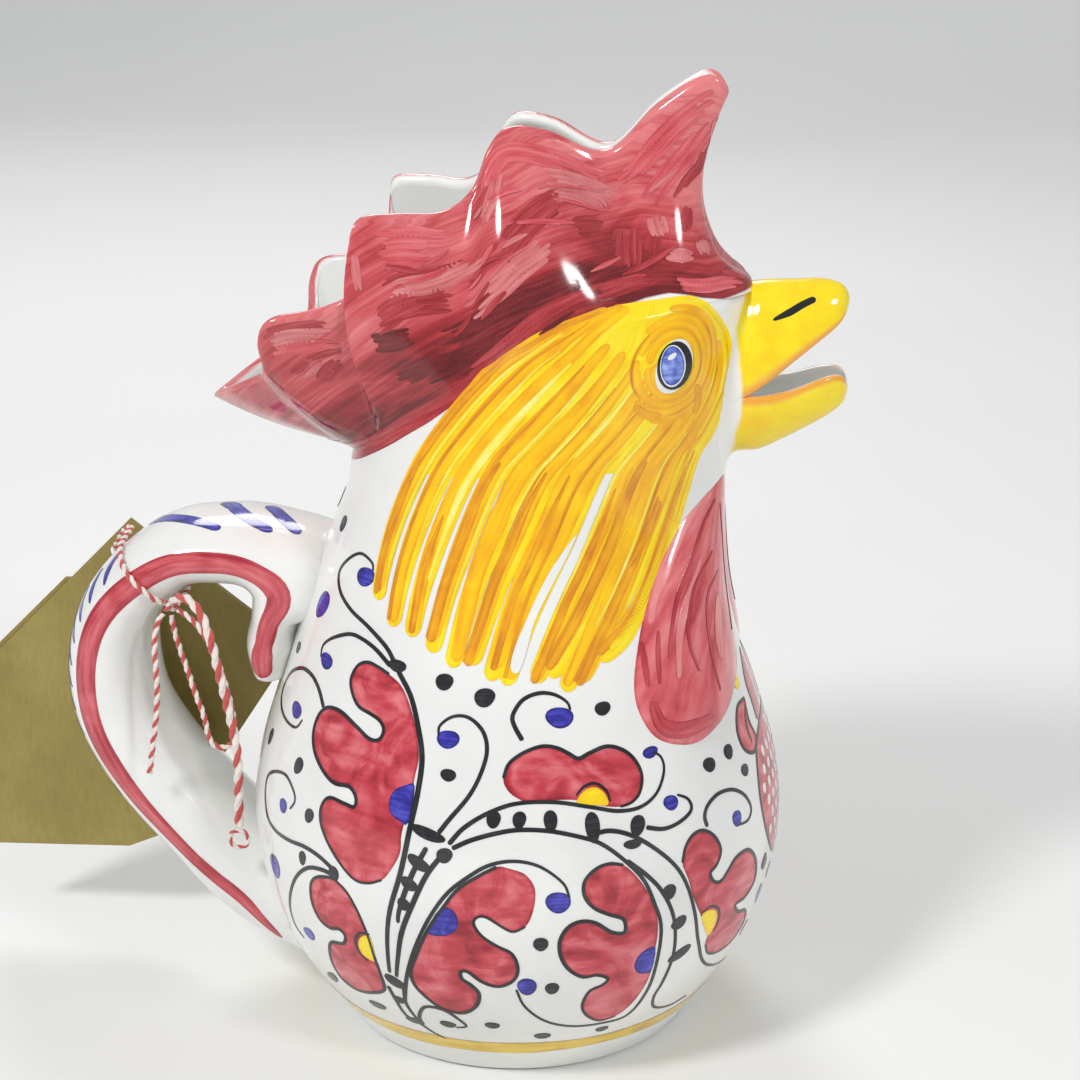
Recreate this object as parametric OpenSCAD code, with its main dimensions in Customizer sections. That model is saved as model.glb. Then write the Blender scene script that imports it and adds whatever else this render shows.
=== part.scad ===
// Chicken pitcher: a glazed earthenware jug in the shape of a rooster.
// Millimetres. +X points along the beak, +Z up, the foot stands on z = 0.
// Each luted piece follows the wall it sits on, a thin slip joint away from it.

/* [Body] */
// height of the belly, foot to shoulder
belly_h = 96; // [92:1:100]
// height of the neck and head, shoulder to comb base at the sides
neck_h = 91; // [87:1:95]
// radius of the flat foot
foot_r = 49; // [46:0.5:52]
// largest radius of the belly
belly_r = 74.5; // [72:0.5:77]
// radius of the shoulder, where belly and neck are joined
shoulder_r = 67; // [65:0.5:69]
// half width of the neck, side to side
neck_w = 46; // [43:0.5:49]
// half width of the head under the comb
head_w = 37; // [35:0.5:39]
// reach of the neck to the front
neck_front = 57; // [55:0.5:59]
// reach of the neck to the back
neck_back = 50.5; // [49:0.5:52]
// reach of the head to the front, under the comb
head_front = 59; // [57:0.5:61]
// reach of the head to the back, under the comb
head_back = 57; // [55:0.5:59]
// thickness of the pot wall
wall = 5; // [4:0.25:6]
// thickness of the floor
floor_t = 7; // [6:0.5:9]
// bevel round the edge of the foot
foot_bevel = 0.8; // [0.4:0.1:1.5]

/* [Comb] */
// height of the comb, from its base at the sides to its front point
comb_h = 80; // [72:1:88]
// thickness of the comb wall at the rim
comb_wall = 4.5; // [4:0.25:5.5]
// how far the lobes of the comb swell, as a share
comb_swell = 1; // [0.7:0.05:1.2]

/* [Beak] */
// length of the beak, as a share
beak_long = 1; // [0.88:0.02:1.12]
// half width of the beak near its root
beak_w = 12.5; // [11.5:0.25:13.5]
// thickness of the beak wall
beak_wall = 3.2; // [2.75:0.25:3.75]

/* [Wattles and eyes] */
// how far a wattle stands out from the neck
wattle_relief = 4; // [3:0.25:5]
// radius of the round boss that carries the eye
eye_r = 11; // [9:0.5:12]
// how far the eye boss stands out
eye_relief = 2.2; // [1.6:0.1:3]

/* [Handle] */
// width of the handle, side to side
handle_w = 40; // [37:0.5:43]
// thickness of the handle, as a share
handle_thick = 1; // [0.9:0.02:1.08]
// extra reach of the handle behind the pot
handle_reach = 0; // [-4:0.5:6]
// how far the curled end under the handle root stands out, as a share
scroll = 1; // [0.8:0.05:1.1]

/* [Tag] */
// thickness of one leaf of card
card_t = 0.8; // [0.6:0.1:1.2]
// size of the card, as a share
card_size = 1; // [0.9:0.02:1.04]
// diameter of the punched hole
card_hole = 4; // [3.75:0.25:4.5]

/* [Twine] */
// diameter of the two-ply twine
twine_d = 1.8; // [1.5:0.1:2]
// diameter of the doubled, twisted strand
strand_d = 2.8; // [2.4:0.1:3]

/* [Clearances] */
// slip joint between a luted piece and its wall
lute_gap = 0.3; // [0.25:0.05:0.45]
// gap between the two leaves of the card
leaf_gap = 0.5; // [0.4:0.1:0.9]
// gap between the twine and what it passes round
tie_gap = 0.4; // [0.3:0.05:0.6]
// gap between the far side of the handle and the card
card_gap = 4; // [3.5:0.25:5]

/* [Hidden] */

$fn = 72;
glaze = [0.95, 0.95, 0.93];
crimson = [0.68, 0.16, 0.22];
yolk = [0.98, 0.84, 0.08];
gilt = [0.62, 0.54, 0.25];
candy = [0.90, 0.62, 0.58];

// smooth curve through the rows of a list
function mid(a, b, c, d, f) = 0.5 * (2 * b + (c - a) * f
    + (2 * a - 5 * b + 4 * c - d) * f * f + (3 * b - a - 3 * c + d) * f * f * f);
function curve(p, t) = let (n = len(p), i = max(0, min(n - 2, floor(t))),
    b = p[i], c = p[i + 1],
    a = i == 0 ? 2 * b - c : p[i - 1],
    d = i == n - 2 ? 2 * c - b : p[i + 2]) mid(a, b, c, d, t - i);
function loop_curve(p, t) = let (n = len(p), i = floor(t))
    mid(p[(i + n - 1) % n], p[i % n], p[(i + 1) % n], p[(i + 2) % n], t - i);
function unit(v) = v / norm(v);
function flip(p) = [for (q = p) [q.x, -q.y, q.z]];

// heights are written for a belly of 96, a neck of 91 and a comb of 80, and stretched to fit
drawn = [96, 91, 80];
function up(z) = z < drawn[0] ? z * belly_h / drawn[0]
    : z < drawn[0] + drawn[1] ? belly_h + (z - drawn[0]) * neck_h / drawn[1]
    : belly_h + neck_h + (z - drawn[0] - drawn[1]) * comb_h / drawn[2];

// body rings from foot to comb base:
// height, centre x, tilt, reach to the front, to the back, half width, egg shape, arch
rings = [
    [0, 0, 0,  foot_r, foot_r, foot_r, 0, 0],
    [up(10), 0, 0,  0.727 * foot_r + 0.273 * belly_r, 0.727 * foot_r + 0.273 * belly_r,
                 0.727 * foot_r + 0.273 * belly_r, 0, 0],
    [up(25), 0, 0,  0.353 * foot_r + 0.647 * belly_r, 0.353 * foot_r + 0.647 * belly_r,
                 0.353 * foot_r + 0.647 * belly_r, 0, 0],
    [up(42), 0, 0,  0.098 * foot_r + 0.902 * belly_r, 0.098 * foot_r + 0.902 * belly_r,
                 0.098 * foot_r + 0.902 * belly_r, 0, 0],
    [up(60), 0, 0,  belly_r, belly_r, belly_r, 0, 0],
    [up(78), 0, 0,  0.733 * belly_r + 0.267 * shoulder_r, 0.733 * belly_r + 0.267 * shoulder_r,
                 0.733 * belly_r + 0.267 * shoulder_r, 0, 0],
    [up(96), 0, 0,  shoulder_r, shoulder_r, shoulder_r, 0, 0],
    [up(114), 0, 0, 0.4 * shoulder_r + 0.6 * neck_front, 0.636 * shoulder_r + 0.364 * neck_back,
                 0.64 * shoulder_r + 0.36 * neck_w, 0.02, 0],
    [up(132), 0, 1, 0.05 * shoulder_r + 0.95 * neck_front, 0.303 * shoulder_r + 0.697 * neck_back,
                 0.285 * shoulder_r + 0.715 * neck_w, 0.05, 0],
    [up(149), 0, 5, neck_front, neck_back, neck_w, 0.09, 0],
    [up(166), 2, 12, 0.25 * neck_front + 0.75 * head_front, neck_back - 1.5,
                 0.56 * neck_w + 0.44 * head_w, 0.12, 4],
    [up(187), 8, 23.5, head_front, head_back, head_w, 0.14, 13]];
shoulder = 6;
top = len(rings) - 1;

// point on the body: ring number, angle from the beak, offset of the wall
function skin(t, a, off = 0) = let (r = curve(rings, t), c = cos(a), s = sin(a),
    u = (c > 0 ? r[3] + off : r[4] + off) * c,
    v = (r[5] + off) * s * (1 - r[6] * c))
    [r[1] + u * cos(r[2]), v, r[0] + u * sin(r[2]) + r[7] * s * s];
function skin_out(t, a) = let (e = 0.02)
    unit(cross(skin(t, a + 1) - skin(t, a - 1),
               skin(min(top, t + e), a) - skin(max(0, t - e), a)));

// x of the back of the body at a side offset y and a height z
function back_angle(t, y) = let (r = curve(rings, t),
    c = sqrt(max(0, 1 - pow(y / r[5], 2)))) 180 - asin(y / (r[5] * (1 + r[6] * c)));
function back_ring(y, z, lo, hi, n) = n == 0 ? (lo + hi) / 2
    : let (m = (lo + hi) / 2)
      skin(m, back_angle(m, y)).z < z ? back_ring(y, z, m, hi, n - 1)
                                      : back_ring(y, z, lo, m, n - 1);
function back_x(y, z) = let (t = back_ring(y, z, 0, top, 16)) skin(t, back_angle(t, y)).x;

// comb rim, front point to rear point:
// angle on the base, x, half width, height, swell, direction of the wall
rim = [
    [0,    52,  0, 267, -16,   0],
    [16,   45,  4, 265, -14,  32],
    [34,   38,  7, 258,  -8,  60],
    [56,   25,  8, 247,  -6,  74],
    [76,   10, 12, 251,   6,  78],
    [90,    0, 14, 252,  12,  80],
    [97,   -5, 17, 247,  11,  82],
    [104,  -9, 21, 237,   6,  85],
    [111, -16, 25, 232,   2,  88],
    [121, -27, 29, 232,  10,  94],
    [131, -37, 31, 231,  14, 100],
    [136, -39, 33, 225,  13, 104],
    [140, -38, 34, 217,   7, 107],
    [144, -41, 34, 211,   2, 110],
    [150, -50, 36, 208,   7, 118],
    [156, -60, 37, 206,  10, 125],
    [161, -63, 35, 201,   8, 135],
    [165, -63, 30, 193,   4, 145],
    [170, -66, 22, 188,   1, 158],
    [175, -75, 10, 181,   0, 169],
    [180, -84,  0, 174,   0, 180]];
rim_n = len(rim) - 1;
rim_step = 0.5;
// steps round the comb base: front to rear on one side, then back on the other
steps = [each [for (t = [0 : rim_step : rim_n]) t],
         each [for (t = [rim_n - rim_step : -rim_step : rim_step]) -t]];
// even angles between two rows of the rim list
function step_angle(t) = let (u = abs(t), i = min(rim_n - 1, floor(u)))
    (t < 0 ? -1 : 1) * (rim[i][0] + (rim[i + 1][0] - rim[i][0]) * (u - i));
angles = [for (t = steps) step_angle(t)];
around = len(angles);

function comb_half(t, s) = let (r = curve(rim, t), a = step_angle(t),
    b = skin(top, a), e = [r[1], r[2], up(r[3])],
    rear = min(1, max(0, (a - 140) / 40)),
    m = (b + e) / 2 + r[4] * comb_swell * [cos(a), sin(a), 0] + [0, 0, -4 * rear])
    (1 - s) * (1 - s) * b + 2 * s * (1 - s) * m + s * s * e;
function comb_in_half(t, s) = let (r = curve(rim, t), a = step_angle(t),
    p = comb_half(t, s),
    q = p + (1 - s) * (skin(top, a, -wall) - skin(top, a))
          - s * comb_wall * [cos(r[5]), sin(r[5]), 0])
    [q.x, max(q.y, 0.2 * p.y), q.z];
function mirror_half(p, t) = t < 0 ? [p.x, -p.y, p.z] : p;
function comb_out(t, s) = mirror_half(comb_half(abs(t), s), t);
function comb_in(t, s) = mirror_half(comb_in_half(abs(t), s), t);

// faces of a closed tube of rings, rows by columns, from row r0 to r1
function band(r0, r1, n, turn = false) = [for (i = [r0 : r1 - 1], j = [0 : n - 1])
    let (k = (j + 1) % n, a = i * n + j, b = i * n + k, c = (i + 1) * n + k, d = (i + 1) * n + j)
    each turn ? [[a, b, c], [a, c, d]] : [[a, c, b], [a, d, c]]];

// belly
function belly_edge(off) = [for (t = [0 : 0.25 : shoulder])
    let (p = skin(t, 0, off)) [p.x, p.z]];

module belly() {
    inner = [for (p = belly_edge(-wall)) if (p.y > floor_t + 1) p];
    lift = inner[0];
    color(glaze)
    rotate_extrude()
    polygon(concat(
        [[0, 0], [foot_r - foot_bevel, 0]],
        [for (p = belly_edge(0)) if (p.y > foot_bevel) p],
        [for (i = [len(inner) - 1 : -1 : 0]) inner[i]],
        [[lift.x - 5, floor_t + 0.4], [0, floor_t]]));
}

// neck and head, with the mouth left open behind the beak
head_rows = [for (t = [shoulder : 0.25 : top]) t];
head_n = len(head_rows);
mouth_low = 15;
mouth_high = 18;
mouth_half = 2;
function in_mouth(i, j) = i >= mouth_low && i < mouth_high
    && (j < mouth_half || j >= around - mouth_half);

module head() {
    n = around;
    pts = [each [for (t = head_rows, a = angles) skin(t, a)],
           each [for (t = head_rows, a = angles) skin(t, a, -wall)]];
    in0 = head_n * n;
    cells = [for (i = [0 : head_n - 2], j = [0 : n - 1]) if (!in_mouth(i, j))
        let (k = (j + 1) % n, a = i * n + j, b = i * n + k,
             c = (i + 1) * n + k, d = (i + 1) * n + j)
        each [[a, c, b], [a, d, c], [in0 + a, in0 + b, in0 + c], [in0 + a, in0 + c, in0 + d]]];
    foot = [for (j = [0 : n - 1]) let (k = (j + 1) % n)
        each [[j, k, in0 + k], [j, in0 + k, in0 + j]]];
    last = (head_n - 1) * n;
    crown = [for (j = [0 : n - 1]) let (k = (j + 1) % n, a = last + j, b = last + k)
        each [[a, in0 + b, b], [a, in0 + a, in0 + b]]];
    cols = [for (j = [-mouth_half : mouth_half - 1]) (j + n) % n];
    sill = [for (j = cols) let (k = (j + 1) % n, a = mouth_low * n + j, b = mouth_low * n + k)
        each [[a, in0 + b, b], [a, in0 + a, in0 + b]]];
    lintel = [for (j = cols) let (k = (j + 1) % n, a = mouth_high * n + j, b = mouth_high * n + k)
        each [[a, b, in0 + b], [a, in0 + b, in0 + a]]];
    jambs = [for (i = [mouth_low : mouth_high - 1])
        let (l = (n - mouth_half) % n, r = mouth_half,
             a = i * n + l, d = (i + 1) * n + l, b = i * n + r, c = (i + 1) * n + r)
        each [[a, d, in0 + d], [a, in0 + d, in0 + a], [b, in0 + c, c], [b, in0 + b, in0 + c]]];
    color(glaze)
    polyhedron(pts, concat(cells, foot, crown, sill, lintel, jambs), 4);
}

// comb: an open crown of lobed points, red glazed, standing on the head
comb_rows = 10;

module comb() {
    n = around;
    outer = [for (i = [0 : comb_rows], t = steps) comb_out(t, i / comb_rows)];
    crest = [for (t = steps) (comb_out(t, 1) + comb_in(t, 1)) / 2 + [0, 0, 1]];
    inner = [for (i = [comb_rows : -1 : 0], t = steps) comb_in(t, i / comb_rows)];
    m = 2 * comb_rows + 3;
    low = (m - 1) * n;
    seat = [for (j = [0 : n - 1]) let (k = (j + 1) % n)
        each [[j, k, low + k], [j, low + k, low + j]]];
    color(crimson)
    polyhedron(concat(outer, crest, inner), concat(band(0, m - 1, n), seat), 4);
}

// beak sections behind the tip: x, ridge height, lip height, width share, wall share
upper_cuts = [
    [66, 212, 187, 1, 1],
    [74, 213, 193.5, 0.86, 0.95],
    [81, 213.5, 199, 0.68, 0.9],
    [85.5, 212.6, 202.5, 0.5, 0.78],
    [87.6, 211, 205, 0.32, 0.5],
    [88.6, 208.8, 207.6, 0.06, 0.08]];
lower_cuts = [
    [66, 166.5, 183, 1, 1],
    [74, 170.5, 184.5, 0.86, 0.95],
    [81, 174.5, 187, 0.69, 0.9],
    [85.5, 177.5, 188, 0.51, 0.78],
    [88, 180, 187, 0.33, 0.5],
    [89, 183.2, 184.2, 0.06, 0.08]];
beak_root = 60;
// the beak rises with the head behind it
beak_rise = up(170) - 170;
root_half = 21.5;
root_hole = 17;
// rise of the hollow under the upper beak, as a share of its height
palate = 0.4;
// ring numbers on the head: lip, outer edge, edge of the mouth opening
upper_seat = [10.16, 10.88, 10.54];
lower_seat = [10.12, 9.5, 9.66];
beak_cols = 16;
beak_rows = 14;

// one point of the beak: u from root to tip, a across the arch, inner or outer face
function beak_cut(cuts, k, a, inside) = let (c = cuts[k], t = inside ? c[4] * beak_wall : 0,
    h = c[1] - c[2], w = c[3] * beak_w - t, rise = inside && h > 0 ? palate * h : h - sign(h) * t)
    [beak_root + (c[0] - beak_root) * beak_long, w * cos(a), beak_rise + c[2] + rise * sin(a)];
function beak_seat(seat, a, inside) =
    skin(seat[0] + (seat[inside ? 2 : 1] - seat[0]) * sin(a),
         (inside ? root_hole : root_half) * cos(a)) + [lute_gap, 0, 0];
function beak_line(cuts, seat, a, inside) = concat([beak_seat(seat, a, inside)],
    [for (k = [0 : len(cuts) - 1]) beak_cut(cuts, k, a, inside)]);

module beak(cuts, seat, up) {
    n = 2 * (beak_cols + 1);
    ways = [for (i = [0 : beak_cols]) 180 * i / beak_cols];
    lines = [each [for (a = ways) beak_line(cuts, seat, a, false)],
             each [for (i = [beak_cols : -1 : 0]) beak_line(cuts, seat, ways[i], true)]];
    pts = [for (r = [0 : beak_rows], l = lines) curve(l, len(cuts) * r / beak_rows)];
    ends = [for (i = [0 : beak_cols - 1]) let (a = i, b = i + 1, c = n - 2 - i, d = n - 1 - i)
        each [[a, b, c], [a, c, d]]];
    tip = beak_rows * n;
    caps = [for (f = ends) each [f, [tip + f[2], tip + f[1], tip + f[0]]]];
    faces = concat(band(0, beak_rows, n), caps);
    color(yolk)
    polyhedron(pts, up ? faces : [for (f = faces) [f[2], f[1], f[0]]], 4);
}

module upper_beak() beak(upper_cuts, upper_seat, true);
module lower_beak() beak(lower_cuts, lower_seat, false);

// a raised patch on the wall: edge as [ring, angle], centre, height law
function pad_height(q, h, p, w) = h * pow(1 - pow(q, p), w);
function pad_points(edge, mid_at, shares, cols, h, p, w, lift) = [for (q = shares, i = [0 : cols - 1])
    let (e = loop_curve(edge, len(edge) * i / cols), at = mid_at + q * (e - mid_at))
    skin(at[0], at[1]) + skin_out(at[0], at[1]) * (lute_gap + lift + pad_height(q, h, p, w))];

module pad(edge, mid_at, cols, h, p, w, shares, left, rim_t = 0.5) {
    m = len(shares);
    upper = pad_points(edge, mid_at, shares, cols, h, p, w, rim_t);
    lower = pad_points(edge, mid_at, shares, cols, 0, 1, 1, 0);
    at = skin(mid_at[0], mid_at[1]);
    out = skin_out(mid_at[0], mid_at[1]);
    low = [for (i = [m - 1 : -1 : 0], j = [0 : cols - 1]) lower[i * cols + j]];
    raw = concat(upper, low, [at + out * (lute_gap + rim_t + h), at + out * lute_gap]);
    pts = left ? flip(raw) : raw;
    n = cols;
    t = 2 * m * n;
    fan = [for (j = [0 : n - 1]) let (k = (j + 1) % n)
        each [[t, k, j], [t + 1, (2 * m - 1) * n + j, (2 * m - 1) * n + k]]];
    faces = concat(band(0, 2 * m - 1, n, true), fan);
    polyhedron(pts, left ? [for (f = faces) [f[2], f[1], f[0]]] : faces, 4);
}

// wattles: outline of the right one as [ring, angle], both meet in front
wattle_edge = [
    [9.35, -6], [9.1, -30], [8.7, -41], [8.1, -48], [7.5, -52], [7, -54], [6.6, -53], [6.25, -49],
    [6.05, -40], [6.1, -31], [6.3, -21], [6.6, -11], [7, -3.5], [7.6, -2], [8.3, -2], [9, -2]];
wattle_mid = [7.4, -28];
wattle_shares = [0.2, 0.45, 0.7, 0.85, 0.94, 1];

module wattle(left) color(crimson)
    pad(wattle_edge, wattle_mid, 32, wattle_relief - 0.5, 3, 0.7, wattle_shares, left);
module wattle_right() wattle(false);
module wattle_left() wattle(true);

// eyes: low round bosses on the cheeks
eye_mid = [10.58, -46];
eye_shares = [0.25, 0.5, 0.75, 0.9, 1];
eye_up = norm(skin(eye_mid[0] + 0.1, eye_mid[1]) - skin(eye_mid[0] - 0.1, eye_mid[1])) / 0.2;
eye_side = norm(skin(eye_mid[0], eye_mid[1] + 1) - skin(eye_mid[0], eye_mid[1] - 1)) / 2;
eye_edge = [for (b = [0 : 45 : 315])
    eye_mid + [min(0.36, eye_r / eye_up) * sin(b), eye_r / eye_side * cos(b)]];

module eye(left) color(glaze)
    pad(eye_edge, eye_mid, 24, eye_relief - 0.4, 2, 1, eye_shares, left, 0.4);
module eye_right() eye(false);
module eye_left() eye(true);

// handle: x, height, thickness outside and inside the line, half width share.
// It starts at the curled end under the root, lies up the neck, turns out and ends on the belly
handle_line = [
    [-68.5, 101, 6, 5.5, 0.93], [-68.5, 108, 8, 7, 1], [-67.5, 116.5, 9, 6.2, 1],
    [-66.5, 125.5, 22, 7.6, 1.02], [-71, 131.8, 13, 8.8, 1.02], [-80, 134.4, 9.8, 9.8, 1],
    [-94, 132.5, 9.6, 9.6, 1], [-106.5, 123, 10.2, 10.2, 1], [-113.5, 112, 11, 11, 1],
    [-115.5, 98, 12.2, 12.2, 1], [-113, 83, 12.6, 12.6, 1], [-104, 67, 12.8, 12.8, 1],
    [-90, 50.5, 13, 13, 1], [-78.5, 36.5, 14, 14, 1], [-67, 26.5, 15.5, 15.5, 1],
    [-57, 22, 16.5, 16.5, 1.05]];
handle_n = len(handle_line) - 1;
handle_cols = 24;
per_span = 3;
// the reach is added behind the pot only, the curl only to its inside
handle_path = [for (i = [0 : handle_n]) let (h = handle_line[i])
    [h[0] - handle_reach * min(1, max(0, (-72 - h[0]) / 30)), up(h[1]), h[2] * handle_thick,
     h[3] * (i < 3 ? scroll : handle_thick), h[4] * handle_w / 2]];
oval = 2.2;
function swell(v) = sign(v) * pow(abs(v), 2 / oval);
function along(u) = let (e = 0.01, a = curve(handle_path, max(0, u - e)),
    b = curve(handle_path, min(handle_n, u + e))) unit([b[0] - a[0], b[1] - a[1]]);
// point beside the handle: u along it, b round it (90 is the outside), offset from its face
function grip(u, b, off = 0) = let (h = curve(handle_path, u), d = along(u), s = sin(b),
    r = ((s > 0 ? h[2] : h[3]) + off) * swell(s), y = (h[4] + off) * swell(cos(b)))
    [h[0] + r * d[1], y, h[1] - r * d[0]];
function centre(u) = let (h = curve(handle_path, u)) [h[0], 0, h[1]];
// the same point, kept off the wall of the pot, or laid on it
function grip_clear(p) = [min(p.x, back_x(p.y, p.z) - lute_gap), p.y, p.z];
function grip_seat(p) = [back_x(p.y, p.z) - lute_gap, p.y, p.z];
function grip_ring(u, q = 1) = [for (j = [0 : handle_cols - 1])
    centre(u) + q * (grip(u, 360 * j / handle_cols) - centre(u))];
// the rounded end of the curl
curl_round = 3.5;
function curl_drop(q) = [0, 0, -curl_round * sqrt(1 - q * q)];

module handle() {
    n = handle_cols;
    last = handle_n * per_span;
    curl = [for (q = [0.3, 0.6, 0.85], p = grip_ring(0, q)) grip_clear(p + curl_drop(q))];
    shaft = [for (i = [0 : last - 1]) let (u = i / per_span)
        each [for (p = grip_ring(u)) u < 5 || u > handle_n - 4 ? grip_clear(p) : p]];
    tail = [for (q = [1, 0.67, 0.33], p = grip_ring(handle_n, q)) grip_seat(p)];
    m = last + 6;
    pts = concat(curl, shaft, tail,
        [grip_clear(centre(0) + curl_drop(0)), grip_seat(centre(handle_n))]);
    t = m * n;
    fan = [for (j = [0 : n - 1]) let (k = (j + 1) % n)
        each [[t, k, j], [t + 1, (m - 1) * n + j, (m - 1) * n + k]]];
    color(glaze)
    polyhedron(pts, concat(band(0, m - 1, n, true), fan), 4);
}

// a round strand along a line of points
strand_sides = 8;
function way(p, i) = unit(p[min(len(p) - 1, i + 1)] - p[max(0, i - 1)]);
function across(d, v) = unit(v - d * (v * d));
// carries one cross direction along the line, so that the rings do not twist
function frames(p, i, v) = i == len(p) ? [] : let (w = across(way(p, i), v))
    concat([w], frames(p, i + 1, w));
module strand(p, d) {
    f = frames(p, 0, [0.3, 1, 0.2]);
    n = strand_sides;
    pts = [for (i = [0 : len(p) - 1], j = [0 : n - 1])
        let (b = 360 * j / n, w = f[i], k = cross(way(p, i), w))
        p[i] + d / 2 * (w * cos(b) + k * sin(b))];
    m = len(p);
    faces = concat(band(0, m - 1, n, true),
        [[for (j = [0 : n - 1]) n - 1 - j]], [[for (j = [0 : n - 1]) (m - 1) * n + j]]);
    polyhedron(pts, [for (g = faces) [for (i = [len(g) - 1 : -1 : 0]) g[i]]], 4);
}
function smooth(p, per) = [for (i = [0 : (len(p) - 1) * per]) curve(p, i / per)];

// the tie goes round the handle here
tie_at = 6.62;
tie_r = twine_d / 2 + tie_gap;
tie = centre(tie_at);
far_y = handle_w / 2;
card_y = far_y + card_gap;
card_mid_y = card_y + card_t + leaf_gap / 2;
// hole of the card, from the middle of the handle at the tie
hole = [tie.x - 18.2, card_mid_y, tie.z - 5.5];
knot_r = 2.4;
knot = grip(tie_at - 0.1, 228, knot_r + tie_gap);
// where each strand leaves the knot, and the next point of it
knot_gap = 0.4;
function leave(v, k = 0) = knot + unit(v) * (knot_r + knot_gap + k);
way_near = grip(tie_at - 0.08, 203, tie_r + 0.5) - knot;
way_far = [0.1, 0.95, -0.3];
way_tail = [-0.55, -0.45, -0.7];
way_bow_a = [0.25, -0.3, -0.92];
way_bow_b = [0.93, -0.2, -0.3];
way_strand = [0.55, -0.55, 0.63];
loop_route = concat(
    [leave(way_near), grip(tie_at - 0.07, 203, tie_r + 0.4)],
    [for (b = [190 : -20 : 90]) grip(tie_at - 0.06 + 0.0015 * (190 - b), b, tie_r)],
    [grip(tie_at + 0.12, 68, tie_r + 1), hole + [5.4, -10.5, 10], hole + [1, -4.6, 3.4], hole,
     hole + [2.6, 4, 0.4], hole + [8.4, 5.2, 4.4], hole + [14.4, 3.6, 6.6],
     hole + [18.2, -1.6, 4]],
    [for (b = [-40 : -25 : -90]) grip(tie_at, b, tie_r + 0.6)],
    [leave(way_far, 2.6), leave(way_far)]);

// free ends, from the knot, hanging beside the near face of the handle
tail_route = concat([leave(way_tail)],
    [for (v = [[-3, -2.9, -5], [-3.4, -5, -10.4], [-2.8, -6.9, -16.4], [-2.5, -8.2, -23],
               [-3, -9, -30.4], [-4.2, -9.4, -38.4], [-5.4, -9.8, -46.5]]) knot + v]);
bow_route = concat([leave(way_bow_a)],
    [for (v = [[1.7, -2.1, -6.6], [3.5, -3.8, -11.4], [5.8, -5.6, -17], [8, -7, -23],
               [10.2, -7.8, -29], [11.2, -7.8, -34.4], [12.3, -7.8, -37.5], [15, -7.8, -38.7],
               [17.7, -7.8, -37.5], [18.8, -7.8, -34.4], [18.4, -7.8, -28], [17, -7.6, -21],
               [14.8, -6.8, -14], [11.6, -5, -8], [7.6, -2.6, -3.8]]) knot + v],
    [leave(way_bow_b)]);
strand_route = concat([leave(way_strand)],
    [for (v = [[3.9, -3.7, 3.8], [7.4, -6.3, 4], [10.9, -8.8, 1.2], [13.6, -10.6, -4.6],
               [15.4, -11.3, -12], [17, -11.3, -20], [18.6, -11.3, -28], [19.8, -11.3, -36],
               [20.2, -11.3, -44], [20, -11.3, -52.2], [19.8, -11.3, -60.5]]) knot + v]);
strand_low = strand_route[len(strand_route) - 1];

module twine_loop() color(candy) strand(smooth(loop_route, 2), twine_d);
module twine_knot() color(candy) translate(knot) sphere(r = knot_r, $fn = 24);
module twine_tail() color(candy) strand(smooth(tail_route, 2), twine_d);
module twine_bow() color(candy) strand(smooth(bow_route, 2), twine_d);
module twine_strand() color(candy) strand(smooth(strand_route, 2), strand_d);
// small eye at the end of the doubled strand
end_r = 2.6;
module twine_end() color(candy)
    translate(strand_low + [-0.1, -0.3, -end_r - twine_d / 2 - 0.6])
    rotate([90, 0, 0])
    rotate_extrude($fn = 24) translate([end_r, 0]) circle(d = twine_d * 0.8, $fn = 12);

// card: corners from the hole, five sided with one corner cut, folded on its left edge
card_front = [for (c = [[4.7, 10.5], [52.2, -27.5], [12.7, -89], [-1.3, -95], [-42.3, -96],
                        [-38.8, -33.5]]) c * card_size];
// the rear leaf stops below the twine and peeps out a little on the upper left
card_back = [for (c = [[-16.3, -9], [28.7, -9], [52.2, -27.5], [12.7, -89], [-1.3, -95],
                       [-42.3, -96], [-38.8, -31.5]]) c * card_size];
module leaf(corners) rotate([90, 0, 0]) translate([0, 0, -card_t]) linear_extrude(card_t)
    polygon(corners);
module tag_front_leaf() color(gilt) translate([hole.x, card_y, hole.z])
    difference() {
        leaf(card_front);
        rotate([90, 0, 0]) cylinder(d = card_hole, h = 4 * card_t, center = true, $fn = 32);
    }
module tag_back_leaf() color(gilt)
    translate([hole.x, card_y + card_t + leaf_gap, hole.z]) leaf(card_back);

belly();
head();
comb();
upper_beak();
lower_beak();
wattle_right();
wattle_left();
eye_right();
eye_left();
handle();
twine_loop();
twine_knot();
twine_tail();
twine_bow();
twine_strand();
twine_end();
tag_front_leaf();
tag_back_leaf();
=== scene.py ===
"""A rooster-shaped pitcher in painted tin glaze, with a card tag on baker's twine."""
import math

import bpy
import numpy as np
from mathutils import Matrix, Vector
from mathutils.geometry import delaunay_2d_cdt


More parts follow.
